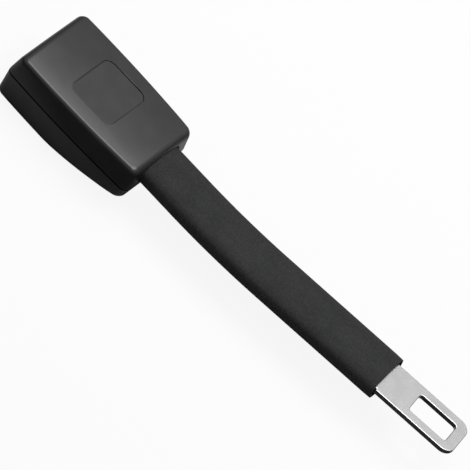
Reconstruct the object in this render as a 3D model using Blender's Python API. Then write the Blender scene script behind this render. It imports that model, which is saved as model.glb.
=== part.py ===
"""Seat belt extender: a push-button buckle, a stiff arm in a flat oval sleeve, and a slotted steel tongue.

Sizes are in metres. X runs from the button end of the buckle to the tongue, Y across the strap,
Z up. Every X below is measured from the button end, and one empty shifts the whole object so that
its origin is at the middle of the flat part of the underside.
"""
import math

import bmesh
import bpy
from mathutils import Vector

MM = 0.001

# Fits
FIT = 0.3 * MM
SLIDE_FIT = 0.4 * MM

# Housing, outside
HOUSING_LENGTH = 74.4 * MM
HOUSING_HEIGHT = 26.0 * MM
FAR_HALF_WIDTH = 25.2 * MM
STRAP_HALF_WIDTH = 24.35 * MM
SIDE_CROWN = 0.9 * MM
CORNER_RADIUS = 5.0 * MM
PARTING_HEIGHT = 14.4 * MM
PARTING_GAP = 0.4 * MM
TOP_FILLET = 2.05 * MM
BOTTOM_FILLET = 2.6 * MM
UNDERSIDE_FLAT_START = 3.0 * MM
UNDERSIDE_FLAT_END = 32.0 * MM
UNDERSIDE_RISE = 7.2 * MM
UNDERSIDE_POWER = 1.4
UPPER_DRAFT = {"far": 1.0 * MM, "strap": 1.6 * MM, "side_far": 0.7 * MM, "side_strap": 1.6 * MM}
LOWER_DRAFT = {"far": 1.2 * MM, "strap": 0.5 * MM, "side_far": 1.0 * MM, "side_strap": 0.8 * MM}

# Housing, inside
UPPER_WALL = 1.8 * MM
LOWER_WALL = 2.0 * MM
LIP_THICKNESS = 0.8 * MM
LIP_HEIGHT = 1.2 * MM
INNER_FILLET = 0.8 * MM
ARC_STEPS = 5
SIDE_STEPS = 9
FILLET_STEPS = 4

# Bare recess on the top face
RECESS_LENGTH = 25.0 * MM
RECESS_WIDTH = 31.0 * MM
RECESS_CENTRE = 36.3 * MM
RECESS_RADIUS = 4.5 * MM
RECESS_DEPTH = 0.35 * MM

# Arm
SLEEVE_HALF_WIDTH = 14.45 * MM
SLEEVE_HALF_HEIGHT = 5.2 * MM
SLEEVE_WALL = 1.0 * MM
SLEEVE_POWER = 2.6
SLEEVE_SIDES = 32
SLEEVE_HOUSED = 9.4 * MM
SLEEVE_SHOWN = 134.6 * MM
ARM_BELOW_TOP = 8.1 * MM
BEND_FROM_HOUSING = 18.6 * MM
BEND_LENGTH = 50.0 * MM
BEND_ANGLE = math.radians(7.5)
CABLE_RADIUS = 2.75 * MM
CABLE_SPREAD = 7.5 * MM
CABLE_EMBED = 7.5 * MM
MOUTH_CLEARANCE = 0.9 * MM

# Clamps, with the plate's tail in one end and the cables in the other
CLAMP_PLATE_DEPTH = 8.5 * MM
CLAMP_LENGTH = CLAMP_PLATE_DEPTH + CABLE_EMBED + FIT
CLAMP_HOUSED = 18.6 * MM
CLAMP_RIB_OFFSETS = (2.0 * MM, 6.0 * MM)
CLAMP_RIB_THICKNESS = 1.4 * MM
CLAMP_RIB_HALF_WIDTH = 7.0 * MM
TAIL_HALF_WIDTH = 10.0 * MM
RIVET_RADIUS = 1.7 * MM
RIVET_HEAD_RADIUS = 2.9 * MM
RIVET_HEAD_DEPTH = 1.0 * MM
RIVET_SPREAD = 5.2 * MM
RIVET_FROM_MOUTH = 4.2 * MM

# Tongue
TONGUE_SHOWN = 42.6 * MM
TONGUE_HALF_WIDTH = 11.0 * MM
TONGUE_THICKNESS = 2.5 * MM
TONGUE_TIP_RADIUS = 6.5 * MM
TONGUE_TIP_CROWN = 0.9 * MM
TONGUE_EDGE = 0.4 * MM
TONGUE_TIP_BAR = 5.6 * MM
SLOT_LENGTH = 20.8 * MM
SLOT_HALF_WIDTH = 6.2 * MM
SLOT_RADIUS = 1.6 * MM

# Belt's channel, from the button's top to the frame's plate
SHEET = 2.5 * MM
FRAME_HALF_WIDTH = 15.0 * MM
FRAME_START = 6.0 * MM
FRAME_DEPTH = 14.9 * MM
FRAME_BEND_RADIUS = 2.3 * MM
CHANNEL_HEIGHT = 4.5 * MM
WINDOW_START = 19.0 * MM
WINDOW_LENGTH = 6.6 * MM
WINDOW_HALF_WIDTH = 6.5 * MM
TAIL_RUN = 6.3 * MM
SADDLE_OFFSETS = (18.5 * MM, 8.5 * MM)
SADDLE_THICKNESS = 1.6 * MM

# Latch
PIN_FROM_FRAME_END = 4.5 * MM
PIN_BELOW_PLATE = 8.05 * MM
PIN_RADIUS = 2.0 * MM
PIN_OVERHANG = 0.6 * MM
LATCH_LEAD = 1.5 * MM
BARREL_WALL = 1.3 * MM
TOOTH_IN_WINDOW = 1.0 * MM
TOOTH_LENGTH = 4.5 * MM
TOOTH_REACH = 1.1 * MM
SHOULDER_AFTER_TOOTH = 0.5 * MM
SHOULDER_LENGTH = 3.0 * MM
SHOULDER_BELOW_PIN = 1.65 * MM
FLANGE_CLEARANCE = 0.7 * MM
LATCH_SPRING_RADIUS = 2.6 * MM

# Button
BUTTON_INSET = 0.4 * MM
BUTTON_BOTTOM = 4.4 * MM
BUTTON_BELOW_CHANNEL = 0.5 * MM
BUTTON_FRONT = 1.3 * MM
BUTTON_DEPTH = 9.0 * MM
BUTTON_TRAVEL = 6.0 * MM
BUTTON_WALL = 1.8 * MM
BUTTON_CORNER = 1.6 * MM
BUTTON_EDGE = 0.8 * MM
FLANGE_THICKNESS = 2.0 * MM
FLANGE_MARGIN = 0.9 * MM
ARM_WIDTH = 2.9 * MM
ARM_OVER_SHOULDER = 2.0 * MM
RAMP_RUN = 5.0 * MM
RAMP_FALL = 4.6 * MM
BUTTON_SPRING_OUT = 2.5 * MM
BUTTON_SPRING_RADIUS = 1.7 * MM
BUTTON_SPRING_LENGTH = 18.2 * MM
POST_THICKNESS = 2.0 * MM

# Ejector
EJECTOR_AFTER_TOOTH = 0.9 * MM
EJECTOR_TAIL_ROOM = 5.5 * MM
EJECTOR_RIB_HEIGHT = 1.2 * MM
EJECTOR_POCKET_WALL = 4.0 * MM
EJECTOR_TRAVEL = 6.0 * MM
EJECTOR_SPRING_RADIUS = 1.4 * MM

# Springs
WIRE_RADIUS = 0.3 * MM
COIL_STEPS = 10
WIRE_PITCH = 2.2 * MM

# Worked out from the sizes above
UNDERSIDE_CENTRE = 0.5 * (UNDERSIDE_FLAT_START + UNDERSIDE_FLAT_END)
ROOF = HOUSING_HEIGHT - UPPER_WALL
ARM_HEIGHT = HOUSING_HEIGHT - ARM_BELOW_TOP
FRAME_TOP = ROOF - FIT
FRAME_UNDER = FRAME_TOP - SHEET
FLANGE_BOTTOM = FRAME_TOP - FRAME_DEPTH
FLANGE_INNER = FRAME_HALF_WIDTH - SHEET
FLANGE_START = BUTTON_FRONT + BUTTON_DEPTH + BUTTON_TRAVEL + SLIDE_FIT
CHANNEL_BOTTOM = FRAME_UNDER - CHANNEL_HEIGHT
CHANNEL_MIDDLE = FRAME_UNDER - 0.5 * CHANNEL_HEIGHT
CLAMP_START = HOUSING_LENGTH - CLAMP_HOUSED
FRAME_END = CLAMP_START - TAIL_RUN
SLEEVE_START = HOUSING_LENGTH - SLEEVE_HOUSED
SLEEVE_END = HOUSING_LENGTH + SLEEVE_SHOWN
BEND_START = HOUSING_LENGTH + BEND_FROM_HOUSING
BEND_END = BEND_START + BEND_LENGTH
TONGUE_END = SLEEVE_END + TONGUE_SHOWN
TONGUE_CLAMP_END = SLEEVE_END - 0.8 * MM
SLOT_END = TONGUE_END - TONGUE_TIP_BAR
CLAMP_HALF_WIDTH = SLEEVE_HALF_WIDTH - SLEEVE_WALL - FIT
CLAMP_HALF_HEIGHT = SLEEVE_HALF_HEIGHT - SLEEVE_WALL - FIT
PIN_X = FRAME_END - PIN_FROM_FRAME_END
PIN_Z = FRAME_UNDER - PIN_BELOW_PLATE
BARREL_RADIUS = PIN_RADIUS + FIT + BARREL_WALL
TOOTH_START = WINDOW_START + TOOTH_IN_WINDOW
TOOTH_END = TOOTH_START + TOOTH_LENGTH
TOOTH_HALF_WIDTH = WINDOW_HALF_WIDTH - TOOTH_IN_WINDOW
LATCH_FRONT = TOOTH_START - LATCH_LEAD
LATCH_UNDER = PIN_Z - 0.5 * SHEET
SHOULDER_START = TOOTH_END + SHOULDER_AFTER_TOOTH
SHOULDER_TOP = PIN_Z - SHOULDER_BELOW_PIN
SHOULDER_HALF_WIDTH = FLANGE_INNER - FLANGE_CLEARANCE
LATCH_SPRING_X = 0.5 * (SHOULDER_START + SHOULDER_LENGTH + PIN_X - BARREL_RADIUS)
ARM_INNER = SHOULDER_HALF_WIDTH - ARM_WIDTH
LATCH_HALF_WIDTH = ARM_INNER - SLIDE_FIT
BUTTON_HALF_WIDTH = FRAME_HALF_WIDTH - BUTTON_INSET
BUTTON_TOP = CHANNEL_BOTTOM - BUTTON_BELOW_CHANNEL
BUTTON_MIDDLE = 0.5 * (BUTTON_BOTTOM + BUTTON_TOP)
BUTTON_SPRING_Y = FRAME_HALF_WIDTH + BUTTON_SPRING_OUT
FLANGE_HALF_WIDTH = BUTTON_SPRING_Y + BUTTON_SPRING_RADIUS - WIRE_RADIUS
FLANGE_X = LOWER_DRAFT["far"] + LOWER_WALL + SLIDE_FIT
BUTTON_SPRING_X = FLANGE_X + FLANGE_THICKNESS + FIT + WIRE_RADIUS
POST_X = BUTTON_SPRING_X + BUTTON_SPRING_LENGTH + FIT + WIRE_RADIUS
OPENING_HALF_WIDTH = BUTTON_HALF_WIDTH + SLIDE_FIT
OPENING_BOTTOM = BUTTON_BOTTOM - SLIDE_FIT
EJECTOR_FRONT = TOOTH_END + EJECTOR_AFTER_TOOTH
EJECTOR_LENGTH = FRAME_END - EJECTOR_TAIL_ROOM - EJECTOR_TRAVEL - EJECTOR_FRONT
EJECTOR_POCKET_DEPTH = EJECTOR_LENGTH - EJECTOR_POCKET_WALL


def finish(name, colour, roughness, metallic):
    """A Principled material of one colour."""
    material = bpy.data.materials.new(name)
    material.use_nodes = True
    shader = material.node_tree.nodes["Principled BSDF"]
    shader.inputs["Base Color"].default_value = (*colour, 1.0)
    shader.inputs["Roughness"].default_value = roughness
    shader.inputs["Metallic"].default_value = metallic
    material.diffuse_color = (*colour, 1.0)
    return material


def plan(u, v, w):
    """An outline seen from above, extruded up."""
    return (u, v, w)


def side(u, v, w):
    """An outline of X and Z, extruded along Y."""
    return (u, w, v)


def end(u, v, w):
    """An outline of Y and Z, extruded along X."""
    return (w, u, v)


def prism(bm, outline, low, high, place):
    """Extrude a flat outline from low to high."""
    base = bm.faces.new([bm.verts.new(place(u, v, low)) for u, v in outline])
    grown = bmesh.ops.extrude_face_region(bm, geom=[base])["geom"]
    shift = Vector(place(0.0, 0.0, high - low))
    bmesh.ops.translate(bm, verts=[g for g in grown if isinstance(g, bmesh.types.BMVert)], vec=shift)


def block(bm, x, y, z):
    """A plain block between two X, two Y and two Z values."""
    outline = [(x[0], y[0]), (x[1], y[0]), (x[1], y[1]), (x[0], y[1])]
    prism(bm, outline, z[0], z[1], plan)


def circle(u, v, radius, count):
    """Points round a circle."""
    angles = (2.0 * math.pi * (i + 0.5) / count for i in range(count))
    return [(u + radius * math.cos(a), v + radius * math.sin(a)) for a in angles]


def rounded_rectangle(u, v, radius, steps=4):
    """A rectangle from u[0] to u[1] and v[0] to v[1] with round corners."""
    points = []
    corners = ((u[1], v[1], 0), (u[0], v[1], 1), (u[0], v[0], 2), (u[1], v[0], 3))
    for cu, cv, quarter in corners:
        centre_u = cu - radius if cu == u[1] else cu + radius
        centre_v = cv - radius if cv == v[1] else cv + radius
        for i in range(steps + 1):
            a = 0.5 * math.pi * (quarter + i / steps)
            points.append((centre_u + radius * math.cos(a), centre_v + radius * math.sin(a)))
    return points


def superellipse(half_width, half_height, power, count):
    """A flat oval with full shoulders, as points of Y and Z about its middle."""
    points = []
    for i in range(count):
        a = 2.0 * math.pi * (i + 0.5) / count
        c, s = math.cos(a), math.sin(a)
        points.append((
            half_width * math.copysign(abs(c) ** (2.0 / power), c),
            half_height * math.copysign(abs(s) ** (2.0 / power), s),
        ))
    return points


def skin(bm, rings, wrap=False):
    """Join rings of equal length with quads, and join the last ring to the first if wrap is set."""
    rows = [[bm.verts.new(p) for p in ring] for ring in rings]
    pairs = list(zip(rows, rows[1:]))
    if wrap:
        pairs.append((rows[-1], rows[0]))
    count = len(rows[0])
    for a, b in pairs:
        for i in range(count):
            j = (i + 1) % count
            bm.faces.new((a[i], a[j], b[j], b[i]))
    return rows


def cap_across(bm, row):
    """Close a ring whose two halves mirror each other with a strip of quads across it."""
    count = len(row)
    for i in range(count // 2 - 1):
        bm.faces.new((row[i], row[i + 1], row[count - 2 - i], row[count - 1 - i]))


class Builder:
    """Turns finished meshes into named objects under one parent."""

    def __init__(self):
        self.root = bpy.data.objects.new("assembly", None)
        self.root.location = (-UNDERSIDE_CENTRE, 0.0, 0.0)
        bpy.context.scene.collection.objects.link(self.root)

    def add(self, name, bm, material=None, origin=(0.0, 0.0, 0.0), turn=0.0):
        """Make an object of a mesh whose points are measured from its origin."""
        bmesh.ops.recalc_face_normals(bm, faces=bm.faces)
        mesh = bpy.data.meshes.new(name)
        bm.to_mesh(mesh)
        bm.free()
        return self.place(bpy.data.objects.new(name, mesh), material, origin, turn)

    def place(self, thing, material, origin, turn):
        """Link an object under the parent and set where it is."""
        bpy.context.scene.collection.objects.link(thing)
        thing.parent = self.root
        thing.location = origin
        thing.rotation_euler = (0.0, 0.0, turn)
        if material:
            thing.data.materials.append(material)
        if thing.type == "MESH":
            thing.data.shade_smooth()
            thing.data.set_sharp_from_angle(angle=math.radians(35))
        return thing

    def combine(self, target, name, bm, operation="DIFFERENCE", turn=0.0, origin=(0.0, 0.0, 0.0)):
        """Cut a hidden shape out of an object, or join it on."""
        tool = self.add(name, bm, None, origin, turn)
        tool.hide_render = True
        tool.display_type = "WIRE"
        modifier = target.modifiers.new(name, "BOOLEAN")
        modifier.operation = operation
        modifier.solver = "EXACT"
        modifier.object = tool

    def wire(self, name, points, radius, material, origin=(0.0, 0.0, 0.0), sides=2):
        """A round bar along a line of points."""
        curve = bpy.data.curves.new(name, "CURVE")
        curve.dimensions = "3D"
        curve.bevel_depth = radius
        curve.bevel_resolution = sides
        curve.use_fill_caps = True
        spline = curve.splines.new("POLY")
        spline.points.add(len(points) - 1)
        for slot, point in zip(spline.points, points):
            slot.co = (*point, 1.0)
        return self.place(bpy.data.objects.new(name, curve), material, origin, 0.0)


def housing_half_width(x):
    """Half the housing's width at the parting line, widest near its middle."""
    t = x / HOUSING_LENGTH
    return FAR_HALF_WIDTH + (STRAP_HALF_WIDTH - FAR_HALF_WIDTH) * t + SIDE_CROWN * 4.0 * t * (1.0 - t)


def underside(x):
    """Height of the housing's underside: flat, then rising to the strap end."""
    t = max(0.0, (x - UNDERSIDE_FLAT_END) / (HOUSING_LENGTH - UNDERSIDE_FLAT_END))
    return UNDERSIDE_RISE * t ** UNDERSIDE_POWER


def level(inset, share, draft, height):
    """One ring of a cover, inset from the parting outline, with a share of the draft added.

    height is a function of X. The two halves of the ring mirror each other across Y.
    """
    start = inset + share * draft["far"]
    stop = HOUSING_LENGTH - inset - share * draft["strap"]
    radius = max(CORNER_RADIUS - inset, INNER_FILLET)
    turns = [0.5 * math.pi * i / ARC_STEPS for i in range(ARC_STEPS + 1)]
    corner = [(radius * (1.0 - math.cos(a)), radius * (1.0 - math.sin(a))) for a in turns]
    straight = stop - start - 2.0 * radius
    stations = [(start + dx, dy) for dx, dy in corner]
    stations += [(start + radius + straight * i / SIDE_STEPS, 0.0) for i in range(1, SIDE_STEPS)]
    stations += [(stop - dx, dy) for dx, dy in reversed(corner)]
    half = []
    for x, dy in stations:
        t = x / HOUSING_LENGTH
        taper = share * (draft["side_far"] + (draft["side_strap"] - draft["side_far"]) * t)
        half.append((x, housing_half_width(x) - inset - taper - dy))
    near = [(x, -y, height(x)) for x, y in half]
    far = [(x, y, height(x)) for x, y in reversed(half)]
    return near + far


def fillet_levels(radius, steps):
    """Pairs of inset and depth round a quarter circle, from the face to the side."""
    turns = [0.5 * math.pi * i / steps for i in range(steps + 1)]
    return [(radius * (1.0 - math.sin(a)), radius * (1.0 - math.cos(a))) for a in turns]


def cover(builder, name, material, rings):
    """A cover's shell: its rings run from the outer face, over the rim, to the inner face."""
    bm = bmesh.new()
    rows = skin(bm, rings)
    cap_across(bm, rows[0])
    cap_across(bm, rows[-1])
    return builder.add(name, bm, material)


def opening_cutter(bm, top):
    """The hole in the button end, for the belt's tongue and the button."""
    outline = rounded_rectangle((-OPENING_HALF_WIDTH, OPENING_HALF_WIDTH), (OPENING_BOTTOM, top), 1.8 * MM)
    prism(bm, outline, -2.0 * MM, 4.0 * MM, end)


def mouth_cutter(bm):
    """The hole in the strap end, round the sleeve."""
    points = superellipse(
        SLEEVE_HALF_WIDTH + MOUTH_CLEARANCE, SLEEVE_HALF_HEIGHT + 0.5 * MOUTH_CLEARANCE, SLEEVE_POWER, SLEEVE_SIDES)
    outline = [(y, z + ARM_HEIGHT) for y, z in points]
    prism(bm, outline, SLEEVE_START + 2.0 * MM, HOUSING_LENGTH + 2.0 * MM, end)


def upper_cover(builder, material):
    """The top half of the housing."""
    draft = UPPER_DRAFT
    rim = PARTING_HEIGHT + 0.5 * PARTING_GAP
    rebate = rim + LIP_HEIGHT + FIT
    rings = [
        level(inset, 1.0, draft, lambda x, d=depth: HOUSING_HEIGHT - d)
        for inset, depth in fillet_levels(TOP_FILLET, FILLET_STEPS)
    ]
    rings += [
        level(0.0, 0.0, draft, lambda x: rim),
        level(LIP_THICKNESS, 0.0, draft, lambda x: rim),
        level(LIP_THICKNESS, 0.0, draft, lambda x: rebate),
        level(UPPER_WALL, 0.0, draft, lambda x: rebate),
        level(UPPER_WALL, 1.0, draft, lambda x: ROOF - INNER_FILLET),
        level(UPPER_WALL + INNER_FILLET, 1.0, draft, lambda x: ROOF),
    ]
    shell = cover(builder, "upper_cover", material, rings)
    recess = bmesh.new()
    half_length = 0.5 * RECESS_LENGTH
    half_width = 0.5 * RECESS_WIDTH
    outline = rounded_rectangle(
        (RECESS_CENTRE - half_length, RECESS_CENTRE + half_length), (-half_width, half_width), RECESS_RADIUS, 6)
    prism(recess, outline, HOUSING_HEIGHT - RECESS_DEPTH, HOUSING_HEIGHT + 1.0 * MM, plan)
    builder.combine(shell, "recess_cut", recess)
    hole = bmesh.new()
    opening_cutter(hole, FRAME_UNDER + FIT)
    builder.combine(shell, "upper_opening_cut", hole)
    mouth = bmesh.new()
    mouth_cutter(mouth)
    builder.combine(shell, "upper_mouth_cut", mouth)
    ribs = bmesh.new()
    clamp_top = ARM_HEIGHT + CLAMP_HALF_HEIGHT + FIT
    across = (-CLAMP_RIB_HALF_WIDTH, CLAMP_RIB_HALF_WIDTH)
    for offset in CLAMP_RIB_OFFSETS:
        x = CLAMP_START + offset
        block(ribs, (x, x + CLAMP_RIB_THICKNESS), across, (clamp_top, ROOF + 0.5 * UPPER_WALL))
    builder.combine(shell, "upper_ribs", ribs, "UNION")


def lower_cover(builder, material):
    """The bottom half of the housing, with the posts and ribs that hold the works."""
    draft = LOWER_DRAFT
    rim = PARTING_HEIGHT - 0.5 * PARTING_GAP
    lip_top = PARTING_HEIGHT + 0.5 * PARTING_GAP + LIP_HEIGHT
    lip_outer = LIP_THICKNESS + FIT
    lip_inner = lip_outer + LIP_THICKNESS
    rings = [
        level(inset, 1.0, draft, lambda x, d=depth: underside(x) + d)
        for inset, depth in fillet_levels(BOTTOM_FILLET, FILLET_STEPS)
    ]
    rings += [
        level(0.0, 0.0, draft, lambda x: rim),
        level(lip_outer, 0.0, draft, lambda x: rim),
        level(lip_outer, 0.0, draft, lambda x: lip_top),
        level(lip_inner, 0.0, draft, lambda x: lip_top),
        level(LOWER_WALL, 0.0, draft, lambda x: rim - LIP_HEIGHT),
        level(LOWER_WALL, 1.0, draft, lambda x: underside(x) + LOWER_WALL + INNER_FILLET),
        level(LOWER_WALL + INNER_FILLET, 1.0, draft, lambda x: underside(x) + LOWER_WALL),
    ]
    shell = cover(builder, "lower_cover", material, rings)
    hole = bmesh.new()
    opening_cutter(hole, FRAME_UNDER)
    builder.combine(shell, "lower_opening_cut", hole)
    mouth = bmesh.new()
    mouth_cutter(mouth)
    builder.combine(shell, "lower_mouth_cut", mouth)
    fittings = bmesh.new()
    foot = 0.5 * LOWER_WALL
    post_top = BUTTON_MIDDLE + BUTTON_SPRING_RADIUS + 2.0 * WIRE_RADIUS
    post_inner = FRAME_HALF_WIDTH + FIT
    post_outer = FLANGE_HALF_WIDTH + 4.0 * WIRE_RADIUS
    for sign in (-1.0, 1.0):
        ends = sorted((sign * post_inner, sign * post_outer))
        block(fittings, (POST_X, POST_X + POST_THICKNESS), ends, (foot, post_top))
        for offset in SADDLE_OFFSETS:
            x = FRAME_END - offset
            stop = x + SADDLE_THICKNESS
            ends = sorted((sign * FLANGE_INNER, sign * (FRAME_HALF_WIDTH - FIT)))
            block(fittings, (x, stop), ends, (underside(stop) + foot, FLANGE_BOTTOM - FIT))
    clamp_under = ARM_HEIGHT - CLAMP_HALF_HEIGHT - FIT
    across = (-CLAMP_RIB_HALF_WIDTH, CLAMP_RIB_HALF_WIDTH)
    for offset in CLAMP_RIB_OFFSETS:
        x = CLAMP_START + offset
        stop = x + CLAMP_RIB_THICKNESS
        block(fittings, (x, stop), across, (underside(stop) + foot, clamp_under))
    boss = circle(LATCH_SPRING_X, 0.0, LATCH_SPRING_RADIUS - WIRE_RADIUS - FIT, 12)
    floor = underside(LATCH_SPRING_X)
    prism(fittings, boss, floor + foot, floor + LOWER_WALL + 2.0 * MM, plan)
    builder.combine(shell, "lower_fittings", fittings, "UNION")


def release_button(builder, material):
    """The push button: a hollow cap, a flange that keeps it in, and two ramps that work the latch."""
    bm = bmesh.new()
    outline = rounded_rectangle(
        (-BUTTON_HALF_WIDTH, BUTTON_HALF_WIDTH), (BUTTON_BOTTOM, BUTTON_TOP), BUTTON_CORNER)
    edge = rounded_rectangle(
        (-BUTTON_HALF_WIDTH + BUTTON_EDGE, BUTTON_HALF_WIDTH - BUTTON_EDGE),
        (BUTTON_BOTTOM + BUTTON_EDGE, BUTTON_TOP - BUTTON_EDGE), BUTTON_CORNER)
    rear = [(BUTTON_FRONT + BUTTON_DEPTH, y, z) for y, z in outline]
    shoulder = [(BUTTON_FRONT + BUTTON_EDGE, y, z) for y, z in outline]
    front = [(BUTTON_FRONT, y, z) for y, z in edge]
    rows = skin(bm, [rear, shoulder, front])
    bm.faces.new(rows[0])
    bm.faces.new(rows[-1])
    button = builder.add("release_button", bm, material)
    flange = bmesh.new()
    middle = (BUTTON_BOTTOM + FLANGE_MARGIN, BUTTON_TOP - FLANGE_MARGIN)
    outline = rounded_rectangle((-FLANGE_HALF_WIDTH, FLANGE_HALF_WIDTH), middle, BUTTON_CORNER)
    prism(flange, outline, FLANGE_X, FLANGE_X + FLANGE_THICKNESS, end)
    builder.combine(button, "button_flange", flange, "UNION")
    arms = bmesh.new()
    root = BUTTON_FRONT + BUTTON_DEPTH - BUTTON_WALL
    tip = SHOULDER_START + ARM_OVER_SHOULDER
    high = SHOULDER_TOP + FIT
    low = high - RAMP_FALL
    top = BUTTON_TOP - FLANGE_MARGIN
    profile = [
        (root, low), (SHOULDER_START - RAMP_RUN, low), (SHOULDER_START, high), (tip, high), (tip, top), (root, top),
    ]
    for sign in (-1.0, 1.0):
        ends = sorted((sign * ARM_INNER, sign * (ARM_INNER + ARM_WIDTH)))
        prism(arms, profile, ends[0], ends[1], side)
    builder.combine(button, "button_arms", arms, "UNION")
    pocket = bmesh.new()
    outline = rounded_rectangle(
        (-ARM_INNER + BUTTON_WALL, ARM_INNER - BUTTON_WALL),
        (BUTTON_BOTTOM + BUTTON_WALL, BUTTON_TOP - BUTTON_WALL), BUTTON_CORNER)
    prism(pocket, outline, BUTTON_FRONT + 2.0 * BUTTON_WALL, BUTTON_FRONT + BUTTON_DEPTH + 1.0 * MM, end)
    builder.combine(button, "button_pocket", pocket)


def frame_section():
    """The frame's middle surface in Y and Z, from one flange's edge to the other's."""
    middle = FRAME_HALF_WIDTH - 0.5 * SHEET
    top = FRAME_TOP - 0.5 * SHEET
    half = [(middle, FLANGE_BOTTOM), (middle, CHANNEL_BOTTOM)]
    for i in range(ARC_STEPS + 1):
        a = 0.5 * math.pi * i / ARC_STEPS
        half.append((
            middle - FRAME_BEND_RADIUS * (1.0 - math.cos(a)), top - FRAME_BEND_RADIUS * (1.0 - math.sin(a))))
    half += [(TAIL_HALF_WIDTH, top), (WINDOW_HALF_WIDTH, top)]
    return [(-y, z) for y, z in half] + [(y, z) for y, z in reversed(half)]


def tail_path():
    """The frame's tail in X and Z, from the plate down to the clamp, with its two bends."""
    high = FRAME_TOP - 0.5 * SHEET
    steps = 6
    points = []
    for i in range(1, steps + 1):
        t = i / steps
        ease = t * t * (3.0 - 2.0 * t)
        points.append((FRAME_END + TAIL_RUN * t, high + (ARM_HEIGHT - high) * ease))
    points.append((CLAMP_START + CLAMP_PLATE_DEPTH - FIT, ARM_HEIGHT))
    return points


def buckle_frame(builder, material):
    """The steel channel that takes the load: a bent sheet with a window, guide slots and a tail."""
    bm = bmesh.new()
    section = frame_section()
    stations = [
        FRAME_START, FLANGE_START, WINDOW_START, WINDOW_START + WINDOW_LENGTH, FRAME_END]
    grid = [[bm.verts.new((x, y, z)) for y, z in section] for x in stations]
    flange_cells = 2 + ARC_STEPS
    window_cell = len(section) // 2 - 1
    for i in range(len(stations) - 1):
        for j in range(len(section) - 1):
            in_flange = j < flange_cells - 1 or j > len(section) - 1 - flange_cells
            if i == 0 and in_flange:
                continue
            if i == 2 and j == window_cell:
                continue
            bm.faces.new((grid[i][j], grid[i + 1][j], grid[i + 1][j + 1], grid[i][j + 1]))
    first = window_cell - 1
    row = grid[-1][first:first + 4]
    widths = [v.co.y for v in row]
    for x, z in tail_path():
        following = [bm.verts.new((x, y, z)) for y in widths]
        for k in range(3):
            bm.faces.new((row[k], following[k], following[k + 1], row[k + 1]))
        row = following
    loose = [v for v in bm.verts if not v.link_faces]
    bmesh.ops.delete(bm, geom=loose, context="VERTS")
    frame = builder.add("buckle_frame", bm, material)
    solid = frame.modifiers.new("sheet", "SOLIDIFY")
    solid.thickness = SHEET
    solid.offset = 0.0
    solid.use_even_offset = True
    holes = bmesh.new()
    prism(holes, circle(PIN_X, PIN_Z, PIN_RADIUS + FIT, 16), -FRAME_HALF_WIDTH - MM, FRAME_HALF_WIDTH + MM, side)
    builder.combine(frame, "pin_holes", holes)
    slots = bmesh.new()
    middle = CHANNEL_MIDDLE
    half = 0.5 * EJECTOR_RIB_HEIGHT + FIT
    outline = rounded_rectangle(
        (EJECTOR_FRONT - 0.5 * MM, EJECTOR_FRONT + EJECTOR_LENGTH + EJECTOR_TRAVEL + FIT),
        (middle - half, middle + half), 0.8 * half)
    prism(slots, outline, -FRAME_HALF_WIDTH - MM, FRAME_HALF_WIDTH + MM, side)
    builder.combine(frame, "guide_slots", slots)
    rivets = bmesh.new()
    for sign in (-1.0, 1.0):
        outline = circle(CLAMP_START + RIVET_FROM_MOUTH, sign * RIVET_SPREAD, RIVET_RADIUS + FIT, 16)
        prism(rivets, outline, ARM_HEIGHT - SHEET, ARM_HEIGHT + SHEET, plan)
    builder.combine(frame, "tail_holes", rivets)


def latch(builder, material):
    """The latch plate, measured from its pin: a tooth, two low shoulders and a hinge barrel."""
    bm = bmesh.new()
    half = 0.5 * SHEET
    block(bm, (LATCH_FRONT - PIN_X, 0.0), (-LATCH_HALF_WIDTH, LATCH_HALF_WIDTH), (-half, half))
    plate = builder.add("latch", bm, material, (PIN_X, 0.0, PIN_Z))
    tooth = bmesh.new()
    start = TOOTH_START - PIN_X
    top = FRAME_UNDER + TOOTH_REACH - PIN_Z
    profile = [
        (start, 0.0),
        (start + TOOTH_LENGTH, 0.0),
        (start + TOOTH_LENGTH, top),
        (start + 0.6 * TOOTH_LENGTH, top),
        (start, CHANNEL_BOTTOM - PIN_Z),
    ]
    prism(tooth, profile, -TOOTH_HALF_WIDTH, TOOTH_HALF_WIDTH, side)
    builder.combine(plate, "latch_tooth", tooth, "UNION", origin=plate.location)
    shoulders = bmesh.new()
    inset = 0.1 * SHEET
    wide, narrow = SHOULDER_HALF_WIDTH, LATCH_HALF_WIDTH - 0.1 * MM
    inner = LATCH_HALF_WIDTH - SHEET - 0.5 * MM
    drop = SHOULDER_TOP - PIN_Z
    outline = [
        (-wide, drop - SHEET), (-inner, drop - SHEET), (-inner, -half + inset), (inner, -half + inset),
        (inner, drop - SHEET), (wide, drop - SHEET), (wide, drop), (narrow, drop), (narrow, half - inset),
        (-narrow, half - inset), (-narrow, drop), (-wide, drop),
    ]
    start = SHOULDER_START - PIN_X
    prism(shoulders, outline, start, start + SHOULDER_LENGTH, end)
    builder.combine(plate, "latch_shoulders", shoulders, "UNION", origin=plate.location)
    barrel = bmesh.new()
    reach = LATCH_HALF_WIDTH - 0.2 * MM
    prism(barrel, circle(0.0, 0.0, BARREL_RADIUS, 20), -reach, reach, side)
    builder.combine(plate, "latch_barrel", barrel, "UNION", origin=plate.location)
    bore = bmesh.new()
    prism(bore, circle(0.0, 0.0, PIN_RADIUS + FIT, 16), -LATCH_HALF_WIDTH - MM, LATCH_HALF_WIDTH + MM, side)
    builder.combine(plate, "latch_bore", bore, origin=plate.location)


def latch_pin(builder, material):
    """The pin across the frame that the latch turns on."""
    bm = bmesh.new()
    reach = FRAME_HALF_WIDTH + PIN_OVERHANG
    prism(bm, circle(0.0, 0.0, PIN_RADIUS, 16), -reach, reach, side)
    builder.add("latch_pin", bm, material, (PIN_X, 0.0, PIN_Z))


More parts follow.
